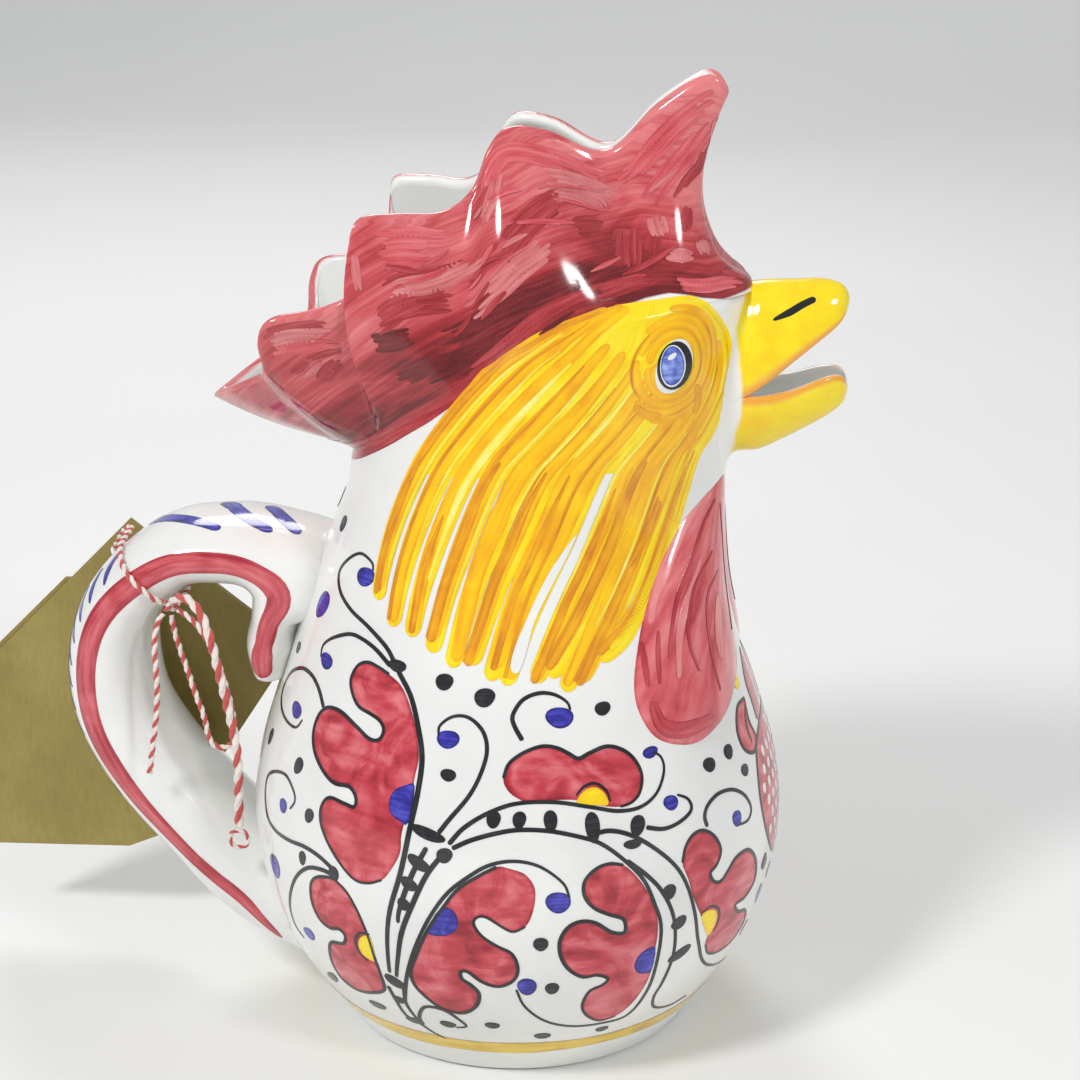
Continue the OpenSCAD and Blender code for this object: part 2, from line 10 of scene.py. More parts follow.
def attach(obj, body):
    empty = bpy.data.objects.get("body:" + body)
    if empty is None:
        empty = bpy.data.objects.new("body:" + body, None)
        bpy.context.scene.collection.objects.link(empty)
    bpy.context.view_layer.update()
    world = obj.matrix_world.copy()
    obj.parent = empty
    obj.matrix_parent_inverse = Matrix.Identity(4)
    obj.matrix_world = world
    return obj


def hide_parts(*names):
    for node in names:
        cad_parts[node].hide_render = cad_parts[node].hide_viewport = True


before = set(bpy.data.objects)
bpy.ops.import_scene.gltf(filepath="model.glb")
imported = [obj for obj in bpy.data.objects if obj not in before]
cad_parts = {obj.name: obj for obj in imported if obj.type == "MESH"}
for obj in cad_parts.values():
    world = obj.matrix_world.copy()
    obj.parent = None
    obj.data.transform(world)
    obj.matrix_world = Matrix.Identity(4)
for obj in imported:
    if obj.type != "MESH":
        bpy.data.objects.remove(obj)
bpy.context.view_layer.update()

# All sizes are in mm, in the frame of the solids: +X along the beak, +Z up, near side -Y
MM = 0.001
dice = np.random.default_rng(7)

# Body rings: height, centre x, tilt, reach to the front, to the back, half width, egg shape, arch
RINGS = [
    [0, 0, 0, 49, 49, 49, 0, 0], [10, 0, 0, 56, 56, 56, 0, 0], [25, 0, 0, 65.5, 65.5, 65.5, 0, 0],
    [42, 0, 0, 72, 72, 72, 0, 0], [60, 0, 0, 74.5, 74.5, 74.5, 0, 0],
    [78, 0, 0, 72.5, 72.5, 72.5, 0, 0], [96, 0, 0, 67, 67, 67, 0, 0],
    [114, 0, 0, 61, 61, 59.5, 0.02, 0], [132, 0, 1, 57.5, 55.5, 52, 0.05, 0],
    [149, 0, 5, 57, 50.5, 46, 0.09, 0], [166, 2, 12, 58.5, 49, 42, 0.12, 4],
    [187, 8, 23.5, 59, 57, 37, 0.14, 13]]
TOP = len(RINGS) - 1
BELLY_R = 74.5
WALL = 5
FLOOR = 7
FOOT_BEVEL = 0.8
EYE_AT = (10.58, 46)
EYE_SWELL = 2.4
EYE_SPREAD = 15.5


def spline(rows, t, closed=False):
    """Smooth curve through the rows of a list, at the places t."""
    p = np.asarray(rows, float)
    t = np.asarray(t, float)
    n = len(p)
    if closed:
        i = np.floor(t).astype(int)
        a, b, c, d = p[(i - 1) % n], p[i % n], p[(i + 1) % n], p[(i + 2) % n]
    else:
        i = np.clip(np.floor(t).astype(int), 0, n - 2)
        p = np.concatenate([[2 * p[0] - p[1]], p, [2 * p[-1] - p[-2]]])
        a, b, c, d = p[i], p[i + 1], p[i + 2], p[i + 3]
    f = (t - i).reshape(t.shape + (1,) * (p.ndim - 1))
    return 0.5 * (2 * b + (c - a) * f + (2 * a - 5 * b + 4 * c - d) * f ** 2
                  + (3 * b - a - 3 * c + d) * f ** 3)


def unit(v):
    return v / np.maximum(np.linalg.norm(v, axis=-1, keepdims=True), 1e-9)


def skin(t, angle, off=0.0):
    """Point of the plain body wall: ring number, angle from the beak, offset of the wall."""
    t, angle = np.broadcast_arrays(np.asarray(t, float), np.asarray(angle, float))
    r = spline(RINGS, t)
    c, s, tilt = np.cos(np.radians(angle)), np.sin(np.radians(angle)), np.radians(r[..., 2])
    u = (np.where(c > 0, r[..., 3], r[..., 4]) + off) * c
    v = (r[..., 5] + off) * s * (1 - r[..., 6] * c)
    return np.stack([r[..., 1] + u * np.cos(tilt), v,
                     r[..., 0] + u * np.sin(tilt) + r[..., 7] * s * s], -1)


def skin_out(t, angle):
    """Outward direction of the plain body wall."""
    e = 0.02
    t = np.asarray(t, float)
    rise = skin(np.minimum(TOP, t + e), angle) - skin(np.maximum(0, t - e), angle)
    return unit(np.cross(skin(t, angle + 1.0) - skin(t, angle - 1.0), rise))


def pot(t, angle):
    """Point of the body wall with the low swelling under each eye."""
    t, angle = np.broadcast_arrays(np.asarray(t, float), np.asarray(angle, float))
    turn = (angle + 180) % 360 - 180
    p = skin(t, turn)
    near = np.linalg.norm(skin(t, np.abs(turn)) - skin(*EYE_AT), axis=-1) / EYE_SPREAD
    swell = EYE_SWELL * (0.5 + 0.5 * np.cos(np.pi * np.clip(near, 0, 1)))
    return p + skin_out(t, turn) * swell[..., None]


def halved(height_at, height, end, rounds):
    """Places between 0 and an end where a rising height reaches the wanted one, from below and above."""
    low, high = np.zeros_like(height), np.full_like(height, end)
    for _ in range(rounds):
        mid = (low + high) / 2
        under = height_at(mid) < height
        low, high = np.where(under, mid, low), np.where(under, high, mid)
    return low, high


def ring_at(height, angle):
    """Ring number of a height at an angle."""
    low, high = halved(lambda t: skin(t, angle)[..., 2], height, TOP, 22)
    return (low + high) / 2


# Comb rim, front point to rear point: angle on the base, x, half width, height, swell, wall direction
RIM = np.array([
    [0, 55, 0, 260.5, -19.5, 0], [8, 55.2, 3.8, 262.2, -18, 18], [16, 51, 5.8, 265, -15, 40],
    [34, 38.5, 7.4, 257.5, -8, 62],
    [56, 25, 8, 245.5, -6, 74], [76, 10, 12, 251, 6, 78], [90, 0, 14, 252, 12, 80],
    [97, -5, 17, 247, 11, 82], [104, -9, 21, 237, 6, 85], [111, -16, 25, 232, 2, 88],
    [121, -27, 29, 232, 10, 94], [131, -37, 31, 231, 14, 100], [136, -39, 33, 225, 13, 104],
    [140, -38, 34, 217, 7, 107], [144, -41, 34, 211, 2, 110], [150, -50, 36, 208, 7, 118],
    [156, -60, 37, 206, 10, 125], [161, -63, 35, 201, 8, 135], [165, -63, 30, 193, 4, 145],
    [170, -66, 22, 188, 1, 158], [174.5, -76, 11.5, 181.5, 0, 167], [180, -83.4, 0, 176.5, 0, 180]], float)
# How far the white of the head climbs the comb, by angle from the beak
CROWN_EDGE = [(0, 1.2), (28, 0), (37, 1.7), (44, 4), (48, 5.1), (56, 5.4), (61, 4.9), (70, 4.3), (83, 4.3),
              (90, 3.2), (98, 2.4), (104, -1), (180, -1)]


# Foot of the comb over the beak: reach, place and height as shares of the comb's height, angle that it
# spans. Then how far the comb's face sags over the beak and over the nape.
FOOT = 3.6
FOOT_AT = 0.09
FOOT_HIGH = 0.09
FOOT_SPAN = 30
FRONT_SAG = 8
REAR_SAG = 4
REAR_FROM = 140


def comb_out(t, s):
    """Outer face of one half of the comb: t along the rim list, s from base to rim."""
    t, s = np.broadcast_arrays(np.asarray(t, float), np.asarray(s, float))
    r = spline(RIM, t)
    a = np.interp(t, np.arange(len(RIM)), RIM[:, 0])
    c, d = np.cos(np.radians(a)), np.sin(np.radians(a))
    base = skin(TOP, a)
    rear = np.clip((a - REAR_FROM) / (180 - REAR_FROM), 0, 1)
    front = np.cos(np.radians(np.clip(a / FOOT_SPAN, 0, 1) * 90)) ** 2
    middle = (base + r[..., 1:4]) / 2 + r[..., 4:5] * np.stack([c, d, 0 * c], -1)
    middle[..., 2] -= REAR_SAG * rear + FRONT_SAG * front
    foot = FOOT * front * np.exp(-((s - FOOT_AT) / FOOT_HIGH) ** 2)
    s = s[..., None]
    p = (1 - s) ** 2 * base + 2 * s * (1 - s) * middle + s * s * r[..., 1:4]
    p[..., 0] += foot
    return p


def on_comb(height, angle):
    """Point of the comb above the head at a height."""
    t = np.interp(np.abs(angle), RIM[:, 0], np.arange(len(RIM)))
    low = halved(lambda s: comb_out(t, s)[..., 2], height, 0.5, 18)[0]
    p = comb_out(t, low)
    p[..., 1] *= np.where(angle < 0, -1, 1)
    return p


class Wall:
    """A wall to paint on: a chart of two numbers that gives points."""

    def __init__(self, at, step, turn=1):
        self.at = at
        self.step = np.asarray(step, float)
        self.turn = turn

    def facing(self, sample, way):
        """The same wall, with its normals turned so that the one at a sample place follows a way."""
        self.turn = 1 if np.dot(self.normals(np.array([sample]))[0], way) > 0 else -1
        return self

    def slopes(self, p):
        a = np.array([self.step[0], 0])
        b = np.array([0, self.step[1]])
        return ((self.at(p + a) - self.at(p - a)) / (2 * self.step[0]),
                (self.at(p + b) - self.at(p - b)) / (2 * self.step[1]))

    def normals(self, p):
        a, b = self.slopes(p)
        return unit(np.cross(a, b)) * self.turn

    def chart_step(self, p, way):
        """Chart step that moves a point by a way given in mm."""
        a, b = self.slopes(p)
        e, f, g = (a * a).sum(-1), (a * b).sum(-1), (b * b).sum(-1)
        x, y = (a * way).sum(-1), (b * way).sum(-1)
        d = np.maximum(e * g - f * f, 0.12 * e * g + 1e-9)
        return np.stack([(g * x - f * y) / d, (e * y - f * x) / d], -1)

    def left_of(self, p, heading):
        """Chart step of one mm to the left of a heading."""
        a, b = self.slopes(p)
        ahead = unit(a * heading[..., :1] + b * heading[..., 1:])
        return self.chart_step(p, np.cross(unit(np.cross(a, b)) * self.turn, ahead))


def body_chart(p):
    """Chart of the body: mm behind the chest line at the belly, and height. It runs on up the comb."""
    angle = -np.degrees(p[..., 0] / BELLY_R)
    at = pot(ring_at(p[..., 1], angle), angle)
    above = p[..., 1] > skin(TOP, angle)[..., 2]
    if above.any():
        at[above] = on_comb(p[..., 1][above], angle[above])
    return at


body = Wall(body_chart, (0.4, 0.4), -1)


# Finishes

def srgb(red, green, blue):
    """A colour as a screen shows it, 0 to 255, as the shader takes it."""
    return tuple(v / 3294.6 if v <= 10 else ((v / 255 + 0.055) / 1.055) ** 2.4
                 for v in (red, green, blue)) + (1.0,)


class Finish:
    """A material in the making, with short names for its nodes."""

    def __init__(self, name, roughness, **gloss):
        self.material = bpy.data.materials.new(name)
        self.material.use_nodes = True
        self.tree = self.material.node_tree
        self.shader = self.tree.nodes["Principled BSDF"]
        self.shader.inputs["Roughness"].default_value = roughness
        for socket, value in gloss.items():
            self.shader.inputs[socket.replace("_", " ").title().replace("Ior", "IOR")].default_value = value

    def node(self, kind, *values, **settings):
        made = self.tree.nodes.new("ShaderNode" + kind)
        for key, value in settings.items():
            setattr(made, key, value)
        for socket, value in zip(made.inputs, values):
            self.feed(socket, value)
        return made

    def feed(self, socket, value):
        if isinstance(value, bpy.types.NodeSocket):
            self.tree.links.new(value, socket)
        elif value is not None:
            socket.default_value = value

    def place(self):
        return self.node("TexCoord").outputs["Object"]

    def brush(self):
        return self.node("Attribute", attribute_name="brush").outputs["Vector"]

    def part(self, vector, axis):
        return self.node("SeparateXYZ", vector).outputs[axis]

    def scaled(self, vector, sizes):
        return self.node("VectorMath", vector, sizes, operation="MULTIPLY").outputs[0]

    def noise(self, vector, scale, detail=3.0, distortion=0.0):
        made = self.node("TexNoise")
        self.feed(made.inputs["Vector"], vector)
        made.inputs["Scale"].default_value = scale
        made.inputs["Detail"].default_value = detail
        made.inputs["Distortion"].default_value = distortion
        return made.outputs[0]

    def sum(self, *terms):
        """Sum of (value, weight) terms."""
        total = 0.0
        for value, weight in terms:
            total = self.node("Math", value, weight, total, operation="MULTIPLY_ADD").outputs[0]
        return total

    def span(self, value, low, high, first=0.0, last=1.0):
        return self.node("MapRange", value, low, high, first, last).outputs[0]

    def ramp(self, value, stops):
        made = self.node("ValToRGB", value)
        points = made.color_ramp.elements
        while len(points) < len(stops):
            points.new(0.5)
        for point, (place, colour) in zip(points, stops):
            point.position = place
            point.color = colour
        return made.outputs[0]

    def mix(self, share, first, second):
        made = self.node("Mix", data_type="RGBA")
        self.feed(made.inputs[0], share)
        self.feed(made.inputs[6], first)
        self.feed(made.inputs[7], second)
        return made.outputs[2]

    def bump(self, height, depth):
        made = self.node("Bump")
        made.inputs["Strength"].default_value = 1.0
        made.inputs["Distance"].default_value = depth * MM
        self.feed(made.inputs["Height"], height)
        self.tree.links.new(made.outputs[0], self.shader.inputs["Normal"])

    def wavy(self):
        """The soft, uneven face that the glazed colours share."""
        self.bump(self.noise(self.place(), 70, 2), 0.12)

    def done(self, colour, roughness=None):
        self.feed(self.shader.inputs["Base Color"], colour)
        self.feed(self.shader.inputs["Roughness"], roughness)
        return self.material


WHITE = srgb(240, 240, 236)
SHADE_WHITE = srgb(230, 231, 228)
GLOSS = {"ior": 1.52, "coat_weight": 0.25, "coat_roughness": 0.03}


def white_glaze():
    """Thick white glaze with a soft, uneven face and a few pin marks."""
    f = Finish("white_glaze", 0.1, **GLOSS)
    cloud = f.noise(f.place(), 26, 3)
    f.bump(f.sum((f.noise(f.place(), 70, 2), 1.0), (f.noise(f.place(), 420, 1), 0.12)), 0.12)
    return f.done(f.ramp(cloud, [(0.35, SHADE_WHITE), (0.65, WHITE)]), f.span(cloud, 0.3, 0.7, 0.08, 0.14))


def bare_clay():
    """Unglazed foot."""
    f = Finish("bare_clay", 0.8)
    grain = f.noise(f.place(), 900, 4)
    f.bump(grain, 0.15)
    return f.done(f.ramp(grain, [(0.3, srgb(205, 190, 170)), (0.7, srgb(226, 214, 196))]))


def brushed(name, dark, mid, light, hair=1.5, wash=90, pool=0.8, pull=0.15, streak=0.5, swirl=0.8):
    """Brushed colour under the glaze: hair marks along the stroke, thick colour at its edge."""
    f = Finish(name, 0.12, **GLOSS)
    brush = f.brush()
    hairs = f.noise(f.scaled(brush, (0.07, hair, 0.0)), 1.0, 4, 0.4)
    patch = f.noise(f.place(), wash, 3, swirl)
    edge = f.span(f.part(brush, 2), 0.0, pool, 1.0, 0.0)
    tone = f.sum((hairs, streak), (patch, 1 - streak), (edge, -pull))
    f.wavy()
    return f.done(f.ramp(tone, [(0.34, srgb(*dark)), (0.48, srgb(*mid)), (0.66, srgb(*light))]),
                  f.span(patch, 0.3, 0.7, 0.09, 0.15))


def comb_red():
    """Red comb: strokes along the rim, darker at the base, partly as painted shade under its swell, bright
    at the rim, partly as a painted highlight, white below and inside.
    """
    f = Finish("comb_red", 0.12, **GLOSS)
    brush = f.brush()
    hairs = f.noise(f.scaled(brush, (0.035, 0.75, 0.0)), 1.0, 5, 0.5)
    patch = f.noise(f.scaled(brush, (0.03, 0.07, 0.0)), 1.0, 3, 1.6)
    # Darker towards the base of the comb: partly painted shade under its swell.
    height = f.span(f.part(brush, 1), 0.0, 26.0, -0.24, 0.06)
    # Lighter just under the rim: partly the paler red wash there, partly a painted highlight along the rim.
    rim = f.span(f.part(brush, 2), -9.0, -2.0, 0.0, 0.1)
    front = f.span(f.part(brush, 0), 8.0, 42.0, 0.14, 0.0)
    tone = f.sum((hairs, 0.4), (patch, 0.6), (height, 1.0), (rim, 1.0), (front, 1.0))
    red = f.ramp(tone, [(0.28, srgb(108, 16, 20)), (0.43, srgb(166, 44, 50)), (0.54, srgb(198, 76, 82)),
                        (0.72, srgb(226, 126, 128))])
    depth = f.sum((f.part(brush, 2), 1.0), (hairs, 1.5))
    inside = f.span(depth, 1.3, 2.4)
    below = f.span(f.sum((f.part(brush, 1), 1.0), (hairs, 0.8)), 0.2, 0.7, 1.0, 0.0)
    f.wavy()
    return f.done(f.mix(f.node("Math", inside, below, operation="MAXIMUM").outputs[0], red, WHITE))


def beak_yellow():
    """Yellow beak: white where it leaves the head and inside, orange along the lips."""
    f = Finish("beak_yellow", 0.1, **GLOSS)
    brush = f.brush()
    cloud = f.noise(f.place(), 120, 3)
    yellow = f.ramp(cloud, [(0.3, srgb(247, 205, 10)), (0.6, srgb(252, 226, 22))])
    lip = f.span(f.sum((f.part(brush, 1), 1.0), (cloud, 1.2)), 0.9, 2.4, 1.0, 0.0)
    yellow = f.mix(lip, yellow, srgb(240, 168, 60))
    inner = f.span(f.sum((f.part(brush, 2), 1.0), (cloud, 1.5)), 1.0, 2.2)
    root = f.span(f.sum((f.part(brush, 0), 1.0), (f.part(brush, 1), 0.2), (cloud, 3.0)), 62.4, 63.4)
    f.wavy()
    return f.done(f.mix(root, WHITE, f.mix(inner, yellow, WHITE)))


def gold_card():
    """Gold-coloured card with a fine fibre and a dull metallic face."""
    f = Finish("gold_card", 0.5, metallic=0.25)
    fibre = f.noise(f.scaled(f.place(), (900, 900, 260)), 1.0, 4)
    cloud = f.noise(f.place(), 30, 2)
    f.bump(fibre, 0.05)
    tone = f.sum((fibre, 0.35), (cloud, 0.65))
    return f.done(f.ramp(tone, [(0.3, srgb(138, 122, 62)), (0.7, srgb(172, 155, 88))]),
                  f.span(fibre, 0.3, 0.7, 0.42, 0.58))


def twine_yarn():
    """Cotton twine of one red and one white ply."""
    f = Finish("twine_yarn", 0.9, sheen_weight=0.3)
    brush = f.brush()
    fuzz = f.noise(f.scaled(brush, (0.9, 5.0, 5.0)), 1.0, 4)
    ply = f.span(f.sum((f.part(brush, 1), 1.0), (fuzz, 0.6)), 0.05, 0.3)
    f.bump(fuzz, 0.12)
    red = f.ramp(fuzz, [(0.3, srgb(178, 56, 54)), (0.7, srgb(214, 104, 96))])
    white = f.ramp(fuzz, [(0.3, srgb(222, 210, 200)), (0.7, srgb(246, 240, 232))])
    return f.done(f.mix(ply, red, white))


COMB_BRUSH = {"hair": 0.8, "wash": 60, "pool": 0.5, "streak": 0.7}
WATTLE_BRUSH = {"hair": 0.6, "wash": 60, "streak": 0.7}

glaze = white_glaze()
clay = bare_clay()
card = gold_card()
yarn = twine_yarn()
leaf_red = brushed("leaf_red", (150, 24, 40), (198, 62, 74), (228, 124, 130),
                   hair=0.3, wash=75, pool=1.0, pull=0.12, streak=0.35, swirl=1.8)
wattle_red = brushed("wattle_red", (176, 50, 58), (214, 94, 100), (232, 140, 142),
                     hair=0.5, wash=50, pool=1.2, pull=0.16, streak=0.62)
wattle_deep = brushed("wattle_deep", (158, 34, 46), (184, 58, 68), (206, 88, 94),
                      pool=0.4, pull=0.1, **WATTLE_BRUSH)
wattle_pale = brushed("wattle_pale", (214, 106, 110), (228, 134, 136), (238, 160, 160),
                      pool=0.6, pull=0.16, **WATTLE_BRUSH)
stripe_red = brushed("stripe_red", (166, 36, 50), (200, 78, 88), (220, 118, 122),
                     hair=0.8, wash=60, pool=1.6)
comb_tones = [
    brushed("comb_dark", (74, 10, 14), (108, 22, 26), (144, 44, 48), pull=0.1, **COMB_BRUSH),
    brushed("comb_deep", (138, 28, 36), (168, 48, 54), (192, 78, 84), pull=0.12, **COMB_BRUSH),
    brushed("comb_bright", (188, 58, 66), (208, 84, 92), (226, 118, 122), pull=0.14, **COMB_BRUSH),
    brushed("comb_pale", (186, 84, 88), (206, 110, 112), (224, 142, 142), pull=0.16, **COMB_BRUSH)]
ink = brushed("ink", (16, 17, 20), (26, 27, 31), (52, 54, 58), hair=2.0, wash=160, pool=0.3, pull=0.08)
blue = brushed("blue", (24, 20, 100), (46, 42, 156), (86, 86, 198), hair=1.2, wash=220, pool=0.6)
yolk = brushed("yolk", (246, 200, 6), (253, 222, 8), (254, 236, 60), hair=0.8, pool=1.4, pull=0.1)
orange = brushed("orange", (240, 164, 8), (251, 190, 4), (255, 212, 8),
                 hair=0.7, wash=70, pool=1.2, pull=0.12)
rust = brushed("rust", (212, 130, 18), (234, 158, 14), (247, 186, 16), hair=1.0, pull=0.1)
straw = brushed("straw", (250, 224, 60), (252, 236, 110), (252, 244, 180), hair=1.0)
ochre = brushed("ochre", (204, 162, 28), (230, 192, 42), (244, 212, 74), hair=0.6, wash=70)
eye_blue = brushed("eye_blue", (62, 76, 170), (112, 134, 216), (178, 196, 242), hair=0.9, wash=260)


# Building pieces

def piece(name, points, faces, finishes, nodes=(), brush=None, normals=None, face_finish=None,
          rides="pitcher"):
    """A mesh piece from points in mm, riding on a body and standing for CAD nodes."""
    mesh = bpy.data.meshes.new(name)
    mesh.from_pydata((np.asarray(points) * MM).tolist(), [], [list(map(int, f)) for f in faces])
    for finish in finishes:
        mesh.materials.append(finish)
    if face_finish is not None:
        mesh.polygons.foreach_set("material_index", face_finish)
    mesh.shade_smooth()
    if brush is not None:
        mesh.attributes.new("brush", "FLOAT_VECTOR", "POINT")
        mesh.attributes["brush"].data.foreach_set("vector", np.asarray(brush, "f").ravel())
    if normals is not None:
        mesh.normals_split_custom_set_from_vertices(np.asarray(normals).tolist())
    made = bpy.data.objects.new(name, mesh)
    bpy.context.scene.collection.objects.link(made)
    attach(made, rides)
    if nodes:
        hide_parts(*nodes)
    return made


def grid_faces(rows, columns, closed=True, first=0):
    """Quads of a grid of rows by columns, closed across the columns or not."""
    faces = []
    for i in range(rows - 1):
        for j in range(columns if closed else columns - 1):
            k = (j + 1) % columns
            a = first + i * columns
            b = a + columns
            faces.append((a + j, a + k, b + k, b + j))
    return faces


def fan(centre, ring, turn=False):
    """Triangles from a centre to a closed ring of point numbers."""
    pairs = zip(ring, list(ring[1:]) + [ring[0]])
    return [(centre, b, a) if turn else (centre, a, b) for a, b in pairs]


class Paint:
    """Strokes of one colour, as thin closed sheets on a wall."""

    # Depth of a sheet in its wall, width of a hair mark, edge distance of a sheet without a thick edge,
    # range of the shifts of the hair marks, corners of a dot
    SINK = 0.05
    HAIR = 1.2
    SOFT = 9.0
    SHIFT = 400
    CORNERS = 20

    def __init__(self, wall):
        self.wall = wall
        self.points = []
        self.normals = []
        self.brush = []
        self.faces = []
        self.count = 0

    def add(self, chart, faces, brush, lift, both=True):
        """One sheet, on the near side or on both sides of the pot."""
        chart = np.asarray(chart, float)
        faces = [list(map(int, f)) for f in faces]
        base, out = self.wall.at(chart), self.wall.normals(chart)
        i, j, k = faces[len(faces) // 2][:3]
        if np.dot(np.cross(base[j] - base[i], base[k] - base[i]), out[i]) < 0:
            faces = [f[::-1] for f in faces]
        edges = {(a, b) for f in faces for a, b in zip(f, f[1:] + f[:1])}
        n = len(chart)
        whole = faces + [[v + n for v in f[::-1]] for f in faces]
        whole += [[b, a, a + n, b + n] for a, b in edges if (b, a) not in edges]
        for side in ((1, -1) if both else (1,)):
            flip = np.array([1, side, 1])
            self.points += [(base + out * lift) * flip, (base - out * self.SINK) * flip]
            self.normals += [out * flip, -out * flip]
            self.brush += [brush, brush]
            self.faces += [[v + self.count for v in (f if side > 0 else f[::-1])] for f in whole]
            self.count += 2 * n

    def swept(self, route, width, lift):
        """A broad mark of a loaded brush: hairs side by side with uneven ends."""
        route = np.asarray(route, float)
        line = spline(route, np.linspace(0, len(route) - 1, 9))
        left = self.wall.left_of(line, np.gradient(line, axis=0))
        count = max(2, round(width / self.HAIR))
        for k in range(count):
            aside = ((k + 0.5) / count - 0.5) * width
            part = np.linspace(dice.uniform(0, 0.22), 1 - dice.uniform(0, 0.28), 7) * 8
            hair = spline(line + left * aside, part)
            self.stroke(hair, 1.5 * width / count, lift + 0.001 * (k % 3), (0.6, 0.4), 3, 1.3, soft=True)

    def stroke(self, route, width, lift=0.1, ends=(1.0, 1.0), across=3, step=0.9, both=True, soft=False):
        """A brush line through the points of a route, with round ends. A soft one has no thick edge."""
        route = np.asarray(route, float)
        t = np.linspace(0, len(route) - 1, 14 * (len(route) - 1) + 1)
        gone = self.wall.at(spline(route, t))
        gone = np.concatenate([[0], np.linalg.norm(np.diff(gone, axis=0), axis=1).cumsum()])
        r, long = width / 2, gone[-1]
        cap = min(r, long / 3) * (1 - np.cos(np.radians([8, 30, 50, 70])))
        middle = np.linspace(min(r, long / 3), long - min(r, long / 3), max(3, int(long / step)))
        s = np.concatenate([cap, middle, long - cap[::-1]])
        line = spline(route, np.interp(s, gone, t))
        heading = np.gradient(line, axis=0)
        tip = np.minimum(s, long - s)
        half = r * np.interp(s / long, [0, 0.35, 0.65, 1], [ends[0], 1, 1, ends[1]])
        half = half * np.sqrt(np.clip(1 - (1 - np.minimum(1, tip / r)) ** 2, 0.02, 1))
        left = self.wall.left_of(line, heading)
        share = np.linspace(-1, 1, across)
        chart = line[:, None] + left[:, None] * (share[:, None] * half[:, None, None])
        rim = np.minimum(half[:, None] * (1 - np.abs(share)), tip[:, None]) + (self.SOFT if soft else 0.0)
        shift = dice.uniform(0, self.SHIFT)
        brush = np.stack([np.repeat(s[:, None] + shift, across, 1), share * half[:, None] + shift, rim], -1)
        self.add(chart.reshape(-1, 2), grid_faces(len(s), across, False), brush.reshape(-1, 3), lift, both)

    def fill(self, outline, lift=0.06, per=4, cell=1.8, both=True):
        """A brushed patch inside a smooth closed outline."""
        edge = spline(outline, np.arange(len(outline) * per) / per, True)
        low, high = edge.min(0), edge.max(0)
        x, y = np.meshgrid(np.arange(low[0], high[0], cell), np.arange(low[1], high[1], cell))
        inner = np.stack([x.ravel(), y.ravel()], -1)
        inner = inner[inside(inner, edge) & (edge_distance(inner, edge) > 0.5 * cell)]
        flat = [Vector(p) for p in np.concatenate([edge, inner]).tolist()]
        got = delaunay_2d_cdt(flat, [], [list(range(len(edge)))], 1, 1e-5)
        chart = np.array([tuple(v) for v in got[0]])
        brush = np.column_stack([chart + dice.uniform(0, self.SHIFT), edge_distance(chart, edge)])
        self.add(chart, got[2], brush, lift, both)

    def sheet(self, chart, lift):
        """A patch given as rows of chart points, brushed down the rows."""
        on = self.wall.at(chart)
        down = np.linalg.norm(np.diff(on, axis=0, prepend=on[:1]), axis=-1).cumsum(0)
        over = np.linalg.norm(np.diff(on, axis=1, prepend=on[:, :1]), axis=-1).cumsum(1)
        over = np.broadcast_to(over[len(chart) // 2], down.shape)
        brush = np.stack([down, over, np.full_like(down, self.SOFT)], -1)
        faces = grid_faces(*chart.shape[:2], False)
        self.add(chart.reshape(-1, 2), faces, brush.reshape(-1, 3), lift)

    def dot(self, a, h, wide, high=None, tilt=0, lift=0.1, both=True):
        """A round or long dot: chart place, half width and half height in mm, tilt."""
        n = self.CORNERS
        round_ = np.radians(np.arange(n) * (360 // n))
        wobble = 1 + 0.06 * np.sin(2 * round_ + dice.uniform(0, 6)) + 0.04 * np.sin(3 * round_)
        high = high or wide
        c, s = math.cos(math.radians(tilt)), math.sin(math.radians(tilt))
        x, y = wide * np.cos(round_) * wobble, high * np.sin(round_) * wobble
        centre = np.array([[a, h]], float)
        pa, ph = self.wall.slopes(centre)
        to_chart = self.wall.chart_step(np.repeat(centre, 2, 0), np.concatenate([unit(pa), unit(ph)]))
        ring = (c * x - s * y)[:, None] * to_chart[0] + (s * x + c * y)[:, None] * to_chart[1]
        shares = [0.4, 0.75, 1.0]
        chart = np.concatenate([centre] + [centre + q * ring for q in shares])
        rim = min(wide, high) * (1 - np.concatenate([[0]] + [np.full(n, q) for q in shares]))
        brush = np.column_stack([chart + dice.uniform(0, self.SHIFT), rim])
        faces = fan(0, list(range(1, n + 1)), True) + grid_faces(len(shares), n, True, 1)
        self.add(chart, faces, brush, lift, both)

    def build(self, name, finish, slot, nodes=()):
        return piece(name, np.concatenate(self.points), self.faces, [finish], nodes,
                     np.concatenate(self.brush), np.concatenate(self.normals))


def inside(points, edge):
    """Which points lie inside a closed outline."""
    x, y = points[:, :1], points[:, 1:]
    ax, ay = edge[:, 0], edge[:, 1]
    bx, by = np.roll(ax, -1), np.roll(ay, -1)
    cross = (ay > y) != (by > y)
    at = ax + (y - ay) * (bx - ax) / np.where(by == ay, 1e-9, by - ay)
    return (cross & (x < at)).sum(1) % 2 == 1


def edge_distance(points, edge):
    """Distance of points from a closed outline."""
    a, b = edge, np.roll(edge, -1, 0)
    way = b - a
    share = ((points[:, None] - a) * way).sum(-1) / np.maximum((way * way).sum(-1), 1e-9)
    foot = a + np.clip(share, 0, 1)[..., None] * way
    return np.linalg.norm(points[:, None] - foot, axis=-1).min(1)


# Camera and light

CAMERA_AT = (74.7, -648.8, 362.5)
LOOKS_AT = (6.5, 0, 137.9)
LENS = 83.3
LAMPS_LOOK_AT = (0, 0, 130)
SURROUND = (0.92, 0.94, 0.97, 1)
SURROUND_STRENGTH = 0.5
# Floor in metres: half depth, radius of its bend up to the wall behind, height of the wall, half width
FLOOR_DEPTH = 1.5
FLOOR_BEND = 0.6
FLOOR_WALL = 2.4
FLOOR_WIDE = 4


